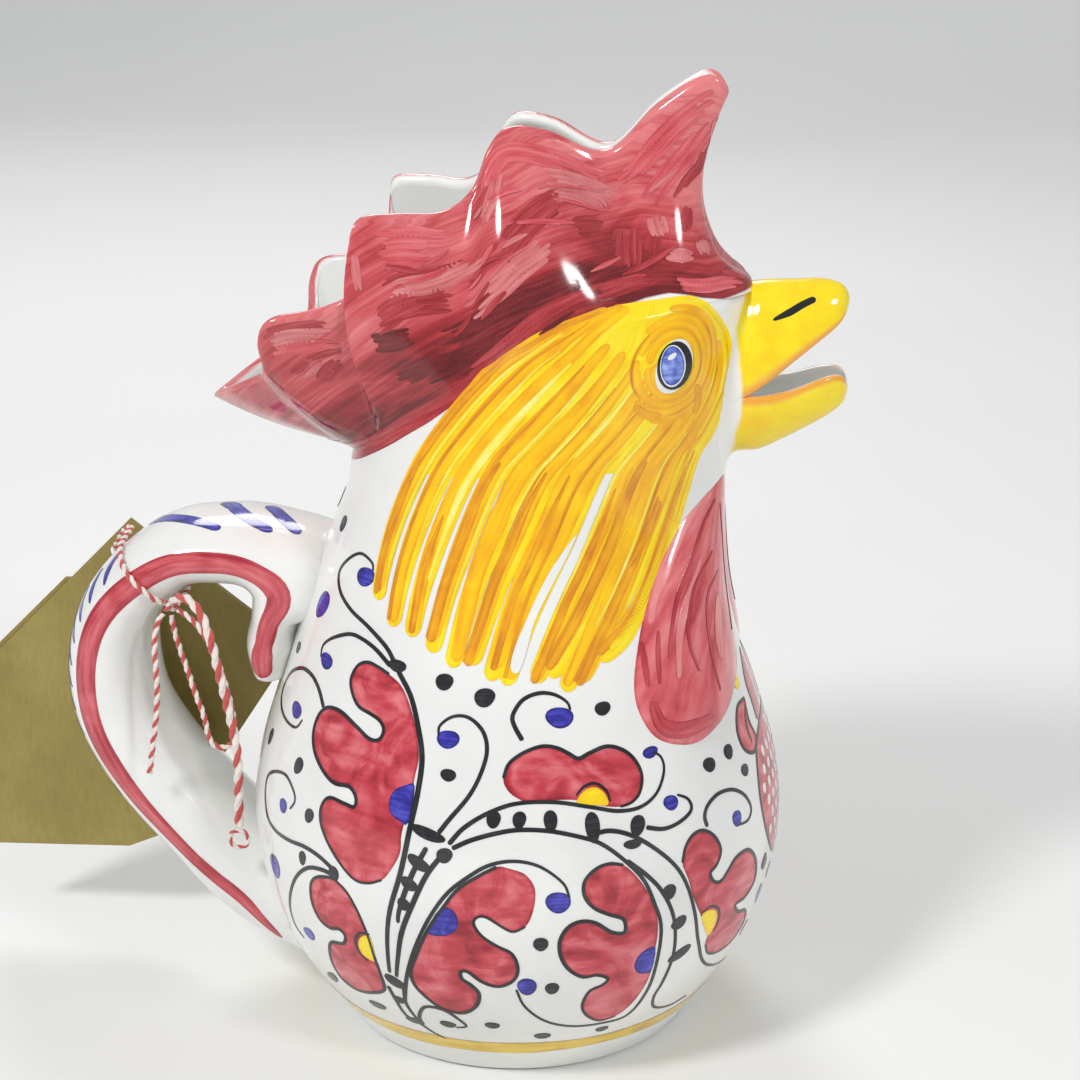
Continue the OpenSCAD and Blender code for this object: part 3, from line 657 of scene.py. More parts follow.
def aim(obj, at, target):
    obj.location = Vector(at) * MM
    obj.rotation_euler = (Vector(target) - Vector(at)).to_track_quat("-Z", "Y").to_euler()
    bpy.context.scene.collection.objects.link(obj)


def camera():
    data = bpy.data.cameras.new("camera")
    data.lens = LENS
    data.sensor_width = 36
    made = bpy.data.objects.new("camera", data)
    aim(made, CAMERA_AT, LOOKS_AT)
    bpy.context.scene.camera = made


def lamp(name, at, size, watts):
    data = bpy.data.lights.new(name, "AREA")
    data.shape = "DISK"
    data.size = size * MM
    data.energy = watts
    aim(bpy.data.objects.new(name, data), at, LAMPS_LOOK_AT)


def studio():
    """Pale floor, even pale surround and three soft lamps."""
    lamp("key", (-700, -900, 1250), 300, 12)
    lamp("fill", (1100, -900, 1000), 320, 6)
    lamp("back", (-300, 1100, 1100), 600, 6)
    world = bpy.data.worlds.new("surround")
    world.use_nodes = True
    world.node_tree.nodes["Background"].inputs["Color"].default_value = SURROUND
    world.node_tree.nodes["Background"].inputs["Strength"].default_value = SURROUND_STRENGTH
    bpy.context.scene.world = world
    f = Finish("floor", 0.7)
    tone = f.noise(f.place(), 3, 2)
    paper = f.done(f.ramp(tone, [(0.3, srgb(236, 236, 234)), (0.7, srgb(240, 240, 238))]))
    mesh = bpy.data.meshes.new("floor")
    flat = np.linspace(-FLOOR_DEPTH, FLOOR_DEPTH, 16)
    bend = np.radians(np.arange(10, 91, 10))
    run = np.concatenate([flat, FLOOR_DEPTH + FLOOR_BEND * np.sin(bend)])
    rise = np.concatenate([np.zeros_like(flat), FLOOR_BEND - FLOOR_BEND * np.cos(bend)])
    run, rise = np.append(run, run[-1]), np.append(rise, FLOOR_WALL)
    points = [(x, y, z) for y, z in zip(run, rise) for x in (-FLOOR_WIDE, FLOOR_WIDE)]
    mesh.from_pydata(points, [], [(2 * i, 2 * i + 1, 2 * i + 3, 2 * i + 2) for i in range(len(run) - 1)])
    mesh.materials.append(paper)
    mesh.shade_smooth()
    floor = bpy.data.objects.new("floor", mesh)
    bpy.context.scene.collection.objects.link(floor)


bpy.context.scene.view_settings.view_transform = "Standard"
camera()
studio()


# Handle surface, needed by the twine too: x, height, thickness outside and inside, half width
HANDLE = [
    [-68.5, 101, 6, 5.5, 18.6], [-68.5, 108, 8, 7, 20], [-67.5, 116.5, 9, 6.2, 20],
    [-66.5, 125.5, 22, 7.6, 20.4], [-71, 131.8, 13, 8.8, 20.4], [-80, 134.4, 9.8, 9.8, 20],
    [-94, 132.5, 9.6, 9.6, 20], [-106.5, 123, 10.2, 10.2, 20], [-113.5, 112, 11, 11, 20],
    [-115.5, 98, 12.2, 12.2, 20], [-113, 83, 12.6, 12.6, 20], [-104, 67, 12.8, 12.8, 20],
    [-90, 50.5, 13, 13, 20], [-78.5, 36.5, 12.3, 14, 20], [-67, 26.5, 10, 15.5, 20],
    [-57, 20.5, 4.2, 16.5, 20]]
HANDLE_END = len(HANDLE) - 1
OVAL = 2.2


def grip(u, b, off=0.0):
    """Point beside the handle: u along it, b round it (90 is the outside), offset from its face."""
    u, b = np.broadcast_arrays(np.asarray(u, float), np.radians(np.asarray(b, float)))
    h = spline(HANDLE, u)
    e = 0.01
    ahead, behind = spline(HANDLE, np.minimum(HANDLE_END, u + e)), spline(HANDLE, np.maximum(0, u - e))
    way = unit((ahead - behind)[..., :2])
    s, c = np.sin(b), np.cos(b)
    r = (np.where(s > 0, h[..., 2], h[..., 3]) + off) * np.sign(s) * np.abs(s) ** (2 / OVAL)
    y = (h[..., 4] + off) * np.sign(c) * np.abs(c) ** (2 / OVAL)
    return np.stack([h[..., 0] + r * way[..., 1], y, h[..., 1] - r * way[..., 0]], -1)


# Twine

TWINE_D = 1.8
STRAND_D = 2.8
TIE_AT = 6.62
TIE_R = TWINE_D / 2 + 0.4
KNOT_R = 2.4
KNOT_SIZE = 0.52
KNOT = grip(TIE_AT - 0.1, 228, KNOT_R + 0.4)
LEAVE = KNOT_R + 0.4
LAY = 4.6
STRAND_LAY = 8.5
END_LAY = 4.0
END_R = 2.6
HOLE = np.array([-120.42, 25.05, 121.56])
WAY_NEAR = grip(TIE_AT - 0.08, 203, TIE_R + 0.5) - KNOT
WAY_FAR = np.array([0.1, 0.95, -0.3])


def leave(way, further=0.0):
    """Point where a strand leaves the knot."""
    return KNOT + unit(np.asarray(way, float)) * (LEAVE + further)


TAIL = [leave((-0.55, -0.45, -0.7))] + [KNOT + v for v in np.array([
    [-3, -2.9, -5], [-3.4, -5, -10.4], [-2.8, -6.9, -16.4], [-2.5, -8.2, -23], [-3, -9, -30.4],
    [-4.2, -9.4, -38.4], [-5.4, -9.8, -46.5]])]
BOW = [leave((0.25, -0.3, -0.92))] + [KNOT + v for v in np.array([
    [1.7, -2.1, -6.6], [3.5, -3.8, -11.4], [5.8, -5.6, -17], [8, -7, -23], [10.2, -7.8, -29],
    [11.2, -7.8, -34.4], [12.3, -7.8, -37.5], [15, -7.8, -38.7], [17.7, -7.8, -37.5],
    [18.8, -7.8, -34.4], [18.4, -7.8, -28], [17, -7.6, -21], [14.8, -6.8, -14], [11.6, -5, -8],
    [7.6, -2.6, -3.8]])] + [leave((0.93, -0.2, -0.3))]
STRAND = [leave((0.55, -0.55, 0.63))] + [KNOT + v for v in np.array([
    [3.9, -3.7, 3.8], [7.4, -6.3, 4], [10.9, -8.8, 1.2], [13.6, -10.6, -4.6], [15.4, -11.3, -12],
    [17, -11.3, -20], [18.6, -11.3, -28], [19.8, -11.3, -36], [20.2, -11.3, -44], [20, -11.3, -52.2],
    [19.8, -11.3, -60.5]])]
LOOP = (
    [leave(WAY_NEAR), grip(TIE_AT - 0.07, 203, TIE_R + 0.4)]
    + [grip(TIE_AT - 0.06 + 0.0015 * (190 - b), b, TIE_R) for b in range(190, 89, -20)]
    + [grip(TIE_AT + 0.12, 68, TIE_R + 1)]
    + [HOLE + v for v in np.array([[5.4, -10.5, 10], [1, -4.6, 3.4], [0, 0, 0], [2.6, 4, 0.4],
                                   [8.4, 5.2, 4.4], [14.4, 3.6, 6.6], [18.2, -1.6, 4]])]
    + [grip(TIE_AT, b, TIE_R + 0.6) for b in (-40, -65, -90)]
    + [leave(WAY_FAR, 2.6), leave(WAY_FAR)])


def even_line(route, step, closed=False):
    """Evenly spaced points on the smooth line through a route."""
    spans = len(route) if closed else len(route) - 1
    t = np.linspace(0, spans, 40 * spans + 1)
    p = spline(route, t, closed)
    gone = np.concatenate([[0], np.linalg.norm(np.diff(p, axis=0), axis=1).cumsum()])
    count = int(gone[-1] / step)
    line = spline(route, np.interp(np.linspace(0, gone[-1], count + 1), gone, t), closed)
    return line, gone[-1]


def rope(name, route, diameter, lay, node, closed=False):
    """A twisted cord of two plies along a route. Lay is the length of one turn of the twist."""
    step = 0.32
    line, long = even_line(route, step, closed)
    if closed:
        line = line[:-1]
    n, sides = len(line), 16
    ahead = unit(np.roll(line, -1, 0) - np.roll(line, 1, 0) if closed else np.gradient(line, axis=0))
    side = [unit(np.cross(ahead[0], [0.3, 1, 0.2]))]
    for way in ahead[1:]:
        side.append(unit(side[-1] - way * np.dot(way, side[-1])))
    side = np.array(side)
    over = np.cross(ahead, side)
    turns = round(long / lay) if closed else long / lay
    around = np.radians(np.arange(sides) * 360 / sides)
    twist = 2 * np.pi * turns * np.arange(n) / n
    spot = around[None] - twist[:, None]
    r = diameter / 2 * np.maximum(np.abs(np.cos(spot)) ** 0.6, 0.66)
    points = line[:, None] + r[..., None] * (side[:, None] * np.cos(around)[None, :, None]
                                             + over[:, None] * np.sin(around)[None, :, None])
    along = np.repeat(np.arange(n)[:, None] * step, sides, 1)
    brush = np.stack([along, np.cos(spot), np.sin(spot)], -1)
    faces = grid_faces(n, sides)
    if closed:
        last = (n - 1) * sides
        faces += [(last + j, last + (j + 1) % sides, (j + 1) % sides, j) for j in range(sides)]
    else:
        faces += [list(range(sides))[::-1], [(n - 1) * sides + j for j in range(sides)]]
    made = piece(name, points.reshape(-1, 3), faces, [yarn], [node], brush.reshape(-1, 3))
    return made, line, long


def free_end(name, route, diameter, lay, node):
    """A free end of the twine, hanging from the knot."""
    made, line, long = rope(name, route, diameter, lay, node)


def twine():
    """Loop, knot and free ends of the twine."""
    rope("twine_loop_cord", LOOP, TWINE_D, LAY, "twine_loop")
    t = np.radians(np.arange(0, 360, 15))
    trefoil = np.stack([np.sin(t) + 2 * np.sin(2 * t), np.cos(t) - 2 * np.cos(2 * t),
                        -1.6 * np.sin(3 * t)], -1)
    rope("twine_knot_turns", KNOT + KNOT_SIZE * trefoil, TWINE_D, LAY, "twine_knot", True)
    ring = STRAND[-1] + np.array([-0.1, -0.3, -4.1])
    turn = np.radians(np.arange(0, 360, 30))
    eye = [ring + END_R * np.array([math.sin(a), 0, math.cos(a)]) for a in turn]
    end = rope("twine_end_eye", eye, TWINE_D * 0.8, END_LAY, "twine_end", True)[0]
    free_end("twine_tail_cord", TAIL, TWINE_D, LAY, "twine_tail")
    free_end("twine_bow_cord", BOW, TWINE_D, LAY, "twine_bow")
    free_end("twine_strand_cord", STRAND, STRAND_D, STRAND_LAY, "twine_strand")


twine()
for leaf in ("tag_front_leaf", "tag_back_leaf"):
    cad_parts[leaf].data.materials.clear()
    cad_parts[leaf].data.materials.append(card)


# Pot

COLUMNS = 270
PER_RING = 12
# Floor inside: radius and rise
FLOOR_DISH = ((46, 0.4), (30, 0.2), (14, 0.1), (5, 0))
# Mouth window: lower ring, upper ring, half angle
MOUTH = (9.75, 10.5, 16)


def circle(radius, height, angle):
    """Level circle about the axis of the belly."""
    c, s = np.cos(np.radians(angle)), np.sin(np.radians(angle))
    return np.stack([radius * c, radius * s, np.full_like(angle, height)], -1)


def pot_body():
    """Belly, neck and head in one, inside and out, with the mouth window behind the beak."""
    angle = np.arange(COLUMNS) * 360.0 / COLUMNS
    foot = [circle(r, 0.0, angle) for r in (8, 18, 28, 37, 44, RINGS[0][3] - FOOT_BEVEL)]
    start = float(ring_at(np.array([FOOT_BEVEL]), np.array([0.0]))[0])
    outer_t = [start] + [i / PER_RING for i in range(1, TOP * PER_RING + 1)]
    inner_t = [i / PER_RING for i in range(TOP * PER_RING, PER_RING - 1, -1)]
    rows = foot + [pot(t, angle) for t in outer_t] + [skin(t, angle, -WALL) for t in inner_t]
    rows += [circle(r, FLOOR + h, angle) for r, h in FLOOR_DISH]
    n = COLUMNS
    half = int(MOUTH[2] * n / 360)
    out_low = len(foot) + outer_t.index(MOUTH[0])
    out_high = len(foot) + outer_t.index(MOUTH[1])
    in_base = len(foot) + len(outer_t)
    in_low = in_base + inner_t.index(MOUTH[0])
    in_high = in_base + inner_t.index(MOUTH[1])
    window = [j % n for j in range(-half, half)]
    faces, finish = [], []
    for i in range(len(rows) - 1):
        open_row = out_low <= i < out_high or in_high <= i < in_low
        for j in range(n):
            if not (open_row and j in window):
                faces.append((i * n + j, i * n + (j + 1) % n, (i + 1) * n + (j + 1) % n, (i + 1) * n + j))
                finish.append(1 if i < len(foot) - 1 else 0)
    for j in window:
        k = (j + 1) % n
        faces.append((out_low * n + j, out_low * n + k, in_low * n + k, in_low * n + j))
        faces.append((out_high * n + k, out_high * n + j, in_high * n + j, in_high * n + k))
    for side, j in ((0, -half % n), (1, half)):
        for i in range(out_high - out_low):
            a, b = out_low + i, out_low + i + 1
            c, d = in_low - i - 1, in_low - i
            jamb = [a * n + j, b * n + j, c * n + j, d * n + j]
            faces.append(jamb[::-1] if side == 0 else jamb)
    points = np.concatenate(rows + [np.array([[0, 0, 0], [0, 0, FLOOR]])])
    last = len(rows) * n
    low_fan = fan(last, list(range(n)), True)
    faces += low_fan + fan(last + 1, list(range(last - n, last)))
    finish += [0] * (len(faces) - len(finish))
    first = len(faces) - 2 * n
    finish[first:first + n] = [1] * n
    piece("pot_body", points, faces, [glaze, clay], ["belly", "head"], None, None, finish)


COMB_WALL = 4.5
COMB_ROUND = 2.0
COMB_PER = 8
COMB_ROWS = 48


def comb_in(t, s):
    """Inner face of the same half."""
    r = spline(RIM, t)
    a = np.interp(t, np.arange(len(RIM)), RIM[:, 0])
    way = np.radians(r[:, 5])
    p = comb_out(t, s)
    q = p + (1 - s) * (skin(TOP, a, -WALL) - skin(TOP, a))
    q -= s * COMB_WALL * np.stack([np.cos(way), np.sin(way), 0 * way], -1)
    q[:, 1] = np.maximum(q[:, 1], 0.2 * p[:, 1])
    return q


def comb():
    """Open crown of lobed points with a rounded rim."""
    last = len(RIM) - 1
    t = np.arange(last * COMB_PER + 1) / COMB_PER
    shares = np.linspace(0, 1, COMB_ROWS) ** 1.3
    outer = [comb_out(t, s) for s in shares]
    inner = [comb_in(t, s) for s in shares[::-1]]
    edge, lip = outer[-1], inner[0]
    crest = [(edge + lip) / 2 + (edge - lip) / 2 * math.cos(b) + np.array([0, 0, COMB_ROUND * math.sin(b)])
             for b in np.radians([22, 45, 67, 90, 113, 135, 158])]
    rows = outer + crest + inner
    rows = [np.concatenate([p, p[-2:0:-1] * [1, -1, 1]]) for p in rows]
    n = len(rows[0])
    stack = np.array(rows)
    base = np.concatenate([[0], np.linalg.norm(np.diff(stack[0, :len(t)], axis=0), axis=1).cumsum()])
    base = np.concatenate([base, base[-2:0:-1]])
    climb = np.concatenate([np.zeros((1, n)), np.linalg.norm(np.diff(stack, axis=0), axis=-1).cumsum(0)])
    rim_row = len(outer) + len(crest) // 2
    depth = climb - climb[rim_row]
    angle = np.interp(t, np.arange(last + 1), RIM[:, 0])
    white = np.interp(angle, *np.transpose(CROWN_EDGE))
    climb[:len(outer)] -= np.concatenate([white, white[-2:0:-1]])
    brush = np.stack([np.broadcast_to(base, climb.shape), climb, depth], -1)
    faces = grid_faces(len(rows), n)
    top = (len(rows) - 1) * n
    faces += [((j + 1) % n, j, top + j, top + (j + 1) % n) for j in range(n)]
    faces = [f[::-1] for f in faces] if comb_turned(stack) else faces
    piece("comb_crown", stack.reshape(-1, 3), faces, [comb_red()], ["comb"],
          brush.reshape(-1, 3))


def comb_turned(stack):
    """Whether the first quad of the outer face looks inwards."""
    i = stack.shape[1] // 4
    a, b, c = stack[2, i], stack[2, i + 1], stack[3, i]
    return np.dot(np.cross(b - a, c - a), a * [1, 1, 0]) < 0


# Beak sections: x, ridge height, lip height, width share, wall share
UPPER_CUTS = np.array([
    [66, 212.8, 187, 1, 1], [74, 213.2, 193.5, 0.86, 0.95], [81, 213.5, 199, 0.68, 0.9],
    [85.5, 212.6, 202.5, 0.5, 0.78], [87.6, 211, 205, 0.32, 0.5], [88.6, 208.8, 207.6, 0.06, 0.08]])
LOWER_CUTS = np.array([
    [66, 166.5, 183, 1, 1], [74, 170.5, 184.5, 0.86, 0.95], [81, 174.5, 187, 0.69, 0.9],
    [85.5, 177.5, 188, 0.51, 0.78], [88, 180, 187, 0.33, 0.5], [89, 183.2, 184.2, 0.06, 0.08]])
# Rings where each half meets the head: lips, ridge outside, ridge inside, end of the soft root
UPPER_SEAT = (10.09, 10.88, 10.54, 11.0)
LOWER_SEAT = (10.19, 9.5, 9.66, 9.15)
BEAK_W = 12.5
BEAK_WALL = 3.2
PALATE = 0.4
ROOT_SINK = 1.2
ROOT_LIFT = 1.6
ROOT_DIP = 0.4
ROOT_RIDGE = np.array([-1.0, 0, 5.9])
FLARE_RIDGE = np.array([-3.2, 0, 3.8])
# Half angles of the head that the soft root, the root and its inside take up
FLARE = 34
ROOT_SPAN = 21.5
INNER_SPAN = 17
FLARE_SINK = 0.5
LIP_ROUND = 0.3
# What the finish reads as distance from the lip at the ridge, and as depth on the lip and inside
LIP_REACH = 14
LIP_DEPTH = 1.6
INNER_DEPTH = 4.0


def beak_shell(cuts, seat, along, across, inner):
    """Outer or inner face of half a beak: along the cuts from root to tip, across from lip to lip."""
    c, s = np.cos(np.radians(across)), np.sin(np.radians(across))
    crest = (s ** 2)[:, None] if seat[1] > seat[0] else 0.0
    if inner:
        root = skin(seat[0] + (seat[2] - seat[0]) * s, INNER_SPAN * c) - [ROOT_SINK, 0, 0]
        rows = [root - [1, 0, 0], root]
    else:
        ring, angle = seat[0] + (seat[3] - seat[0]) * s, FLARE * c
        rows = [skin(ring, angle) - FLARE_SINK * skin_out(ring, angle) + FLARE_RIDGE * crest]
        ring, angle = seat[0] + (seat[1] - seat[0]) * s, ROOT_SPAN * c
        lift = (ROOT_LIFT * s - ROOT_DIP)[:, None]
        rows.append(skin(ring, angle) + skin_out(ring, angle) * lift + ROOT_RIDGE * crest)
    for x, ridge_z, lip, wide, thick in cuts:
        t = thick * BEAK_WALL if inner else 0
        h = ridge_z - lip
        rise = PALATE * h if inner and h > 0 else h - np.sign(h) * t
        rows.append(np.stack([np.full_like(c, x), (wide * BEAK_W - t) * c, lip + rise * s], -1))
    return spline(rows, np.asarray(along) * (len(cuts) + 1))


def half_beak(name, cuts, seat, up):
    """Half of the beak, with rounded lips."""
    along = np.linspace(0, 1, 49) ** 0.9
    across = np.linspace(0, 180, 37)
    outer = beak_shell(cuts, seat, along, across, False)
    inner = beak_shell(cuts, seat, along, across[::-1], True)
    bend = np.radians([30, 60, 90, 120, 150])[None, :, None]
    k = bend.size
    drop = np.array([0, 0, -1.0 if up else 1.0])

    def lip(a, b):
        a, b = a[:, None], b[:, None]
        deep = LIP_ROUND * np.linalg.norm(a - b, axis=-1, keepdims=True)
        return (a + b) / 2 + (a - b) / 2 * np.cos(bend) + drop * deep * np.sin(bend)

    rings = np.concatenate([outer, lip(outer[:, -1], inner[:, 0]), inner, lip(inner[:, -1], outer[:, 0])], 1)
    n, m = rings.shape[1], len(across)
    arch = np.concatenate([across, np.full(k, 180), across[::-1], np.full(k, 0)])
    from_lip = np.sin(np.radians(arch)) * LIP_REACH
    round_lip = np.linspace(0, LIP_DEPTH, k)
    depth = np.concatenate([np.zeros(m), round_lip, np.full(m, INNER_DEPTH), round_lip[::-1]])
    brush = np.stack([rings[..., 0], np.broadcast_to(from_lip, rings.shape[:2]),
                      np.broadcast_to(depth, rings.shape[:2])], -1)
    faces = grid_faces(len(along), n)
    end = (len(along) - 1) * n
    faces += [list(range(n))[::-1], list(range(end, end + n))]
    faces = [f[::-1] for f in faces] if up else faces
    piece(name + "_form", rings.reshape(-1, 3), faces, [beak_finish], [name],
          brush.reshape(-1, 3))


# Wattles: outline, middle and tip of the near one as ring and angle. Its strokes spread from the tip
WATTLE = [
    [9.35, -6], [9.1, -30], [8.7, -41], [8.1, -48], [7.5, -52], [7, -54], [6.6, -53], [6.25, -49],
    [6.05, -40], [6.1, -31], [6.3, -21], [6.6, -11], [7, -3], [7.6, 0.6], [8.3, 0.6], [9, 0]]
WATTLE_MID = np.array([7.4, -28])
WATTLE_TIP = (9.7, -7)
WATTLE_RELIEF = 3.8
WATTLE_SUNK = 0.35
WATTLE_DEEP = 1.4
# Rough mm in a degree and in a ring, and mm across the strokes in a radian round the tip
PER_DEGREE = 0.8
PER_RING_STEP = 18
PER_RADIAN = 26


def wattle_height(at):
    """Height of the lappet over the wall, at places given as ring and angle."""
    even = np.array([1, 0.05])
    edge = (spline(WATTLE, np.arange(240) * len(WATTLE) / 240, True) - WATTLE_MID) * even
    place = (at - WATTLE_MID) * even
    reach = np.interp(np.arctan2(place[..., 0], place[..., 1]), *outline_reach(edge), period=2 * np.pi)
    share = np.minimum(np.linalg.norm(place, axis=-1) / reach, 1)
    low_front = np.interp(-at[..., 1], [0, 24], [0.25, 1])
    return WATTLE_RELIEF * low_front * (1 - share ** 3) ** 0.7 - WATTLE_SUNK


def outline_reach(edge):
    """Directions and distances of the points of an outline, in order of direction."""
    turn = np.arctan2(edge[:, 0], edge[:, 1])
    order = np.argsort(turn)
    return turn[order], np.linalg.norm(edge, axis=-1)[order]


def wattle_face(at):
    """Point of the lappet's face at a ring and an angle."""
    return skin(at[..., 0], at[..., 1]) + skin_out(at[..., 0], at[..., 1]) * wattle_height(at)[..., None]


def wattle(side, name):
    """A raised lappet on the neck. Its edge sinks into the wall and its front side stays low."""
    columns = 120
    edge = spline(WATTLE, np.arange(columns) * len(WATTLE) / columns, True)
    shares = np.array([0.1, 0.2, 0.3, 0.4, 0.5, 0.6, 0.68, 0.76, 0.83, 0.89, 0.93, 0.96, 0.985, 1.0])
    at = WATTLE_MID + shares[:, None, None] * (edge - WATTLE_MID)
    base, out = skin(at[..., 0], at[..., 1]), skin_out(at[..., 0], at[..., 1])
    upper = wattle_face(at)
    lower = (base - out * WATTLE_DEEP)[::-1]
    mid, mid_out = skin(*WATTLE_MID), skin_out(*WATTLE_MID)
    m = len(shares)
    points = np.concatenate([upper.reshape(-1, 3), lower.reshape(-1, 3),
                             [wattle_face(WATTLE_MID), mid - mid_out * WATTLE_DEEP]])
    faces = grid_faces(2 * m, columns)
    t = 2 * m * columns
    faces += fan(t, list(range(columns)), True) + fan(t + 1, list(range(t - columns, t)))
    rim = np.linalg.norm(base - base[-1], axis=-1)
    across = (at[..., 1] - WATTLE_TIP[1]) * PER_DEGREE
    down = (WATTLE_TIP[0] - at[..., 0]) * PER_RING_STEP
    flat = np.stack([np.hypot(across, down), np.arctan2(across, down) * PER_RADIAN, rim], -1)
    middle = flat[0].mean(0)
    brush = np.concatenate([flat.reshape(-1, 3), flat[::-1].reshape(-1, 3), [middle, middle]])
    points = points * [1, side, 1]
    faces = faces if side < 0 else [f[::-1] for f in faces]
    piece(name + "_form", points, faces, [wattle_red], [name], brush)


# Brush strokes on the near wattle: finish, width, route of ring and angle
WATTLE_STROKES = [
    ("pale", 3.4, [(9.2, -20), (8.9, -35), (8.2, -45), (7.8, -48)]),
    ("pale", 4.5, [(7.9, -22), (7.4, -24), (7, -25)]),
    ("pale", 2.6, [(8.5, -29), (7.7, -39), (7, -42)]),
    ("deep", 1.3, [(9.1, -18), (8.9, -26), (8.5, -33), (8.1, -39), (7.7, -42), (7.3, -44)]),
    ("deep", 1.2, [(8.5, -23), (8.2, -32), (7.8, -36), (7.4, -37), (7, -35)]),
    ("deep", 1.1, [(8.2, -20), (8, -27), (7.6, -29), (7, -29), (6.6, -28)]),
    ("deep", 1.3, [(9, -14), (8.5, -12), (7.7, -10), (7.2, -12)]),
    ("deep", 1.6, [(7.6, -50.5), (7, -50.5)]), ("deep", 1.3, [(7.7, -46), (7.35, -47), (7, -47.5)]),
    ("deep", 4.4, [(6.8, -50), (6.45, -48), (6.3, -42), (6.3, -32)])]


def wattle_paint():
    """Long strokes that follow each wattle."""
    face = Wall(wattle_face, (0.04, 0.6)).facing(WATTLE_MID, (0, -1, 0))
    for name, finish in (("pale", wattle_pale), ("deep", wattle_deep)):
        paint = Paint(face)
        for order, (tone, width, route) in enumerate(WATTLE_STROKES):
            if tone == name:
                paint.stroke(route, width, 0.1 + 0.01 * order, (0.5, 0.6), 5)
        paint.build("painted_wattle_" + name, finish, "red_glaze")


def back_x(y, z):
    """x of the back of the body at a side offset and a height."""
    low = halved(lambda t: skin(t, back_angle(t, y))[..., 2], z, TOP, 20)[0]
    return skin(low, back_angle(low, y))[..., 0]


def back_angle(t, y):
    """Angle at which the back of a ring has a side offset."""
    r = spline(RINGS, t)
    c = np.sqrt(np.clip(1 - (y / r[..., 5]) ** 2, 0, 1))
    return 180 - np.degrees(np.arcsin(np.clip(y / (r[..., 5] * (1 + r[..., 6] * c)), -1, 1)))


HANDLE_SUNK = 1.5
FILLET = 4.0
FILLET_REACH = 4.0
CURL_ROUND = 3.5
# Where along the handle the fillets of its two roots end and begin, and over what length they fade
UPPER_FILLET = (5.2, 0.6)
LOWER_FILLET = (10.6, 0.8)
UPPER_SHARE = 0.5
# Parts of the handle that may reach the pot
UPPER_ROOT = 5
LOWER_ROOT = HANDLE_END - 4


def handle_face(u, b):
    """Handle with a soft fillet where it leaves the pot. It sinks a little into the wall."""
    p = grip(u, b)
    mid = np.stack([spline(HANDLE, u)[..., 0], 0 * u, spline(HANDLE, u)[..., 1]], -1)
    root = np.clip((UPPER_FILLET[0] - u) / UPPER_FILLET[1], 0, 1) * UPPER_SHARE
    root = root + np.clip((u - LOWER_FILLET[0]) / LOWER_FILLET[1], 0, 1)
    gap = np.maximum(back_x(p[..., 1], p[..., 2]) - p[..., 0], 0)
    root = root * np.abs(np.cos(np.radians(b)))
    p = p + unit(p - mid) * (root * FILLET * np.exp(-gap / FILLET_REACH))[..., None]
    deep = back_x(p[..., 1], p[..., 2]) + HANDLE_SUNK
    near_pot = (u < UPPER_ROOT) | (u > LOWER_ROOT)
    p[..., 0] = np.where(near_pot, np.minimum(p[..., 0], deep), p[..., 0])
    return p


def handle():
    """Broad loop with the curled end under its root."""
    sides = 64
    b = np.arange(sides) * 360.0 / sides
    u = np.linspace(0, HANDLE_END, HANDLE_END * 8 + 1)
    uu, bb = np.meshgrid(u, b, indexing="ij")
    body_rows = handle_face(uu, bb)
    start = body_rows[0]
    mid = start.mean(0)
    curl = [mid + q * (start - mid) - [0, 0, CURL_ROUND * math.sqrt(1 - q * q)]
            for q in (0.3, 0.55, 0.75, 0.9, 0.97)]
    rows = np.concatenate([curl, body_rows])
    points = np.concatenate([rows.reshape(-1, 3), [mid - [0, 0, CURL_ROUND], body_rows[-1].mean(0)]])
    n = len(rows)
    faces = grid_faces(n, sides)
    t = n * sides
    faces += fan(t, list(range(sides)), True) + fan(t + 1, list(range(t - sides, t)))
    piece("handle_form", points, faces, [glaze], ["handle"])


beak_finish = beak_yellow()
pot_body()
comb()
half_beak("upper_beak", UPPER_CUTS, UPPER_SEAT, True)
half_beak("lower_beak", LOWER_CUTS, LOWER_SEAT, False)
wattle(1, "wattle_right")
wattle(-1, "wattle_left")
handle()


# Painted ornament, as outlines on the chart of the body: mm behind the chest line, height

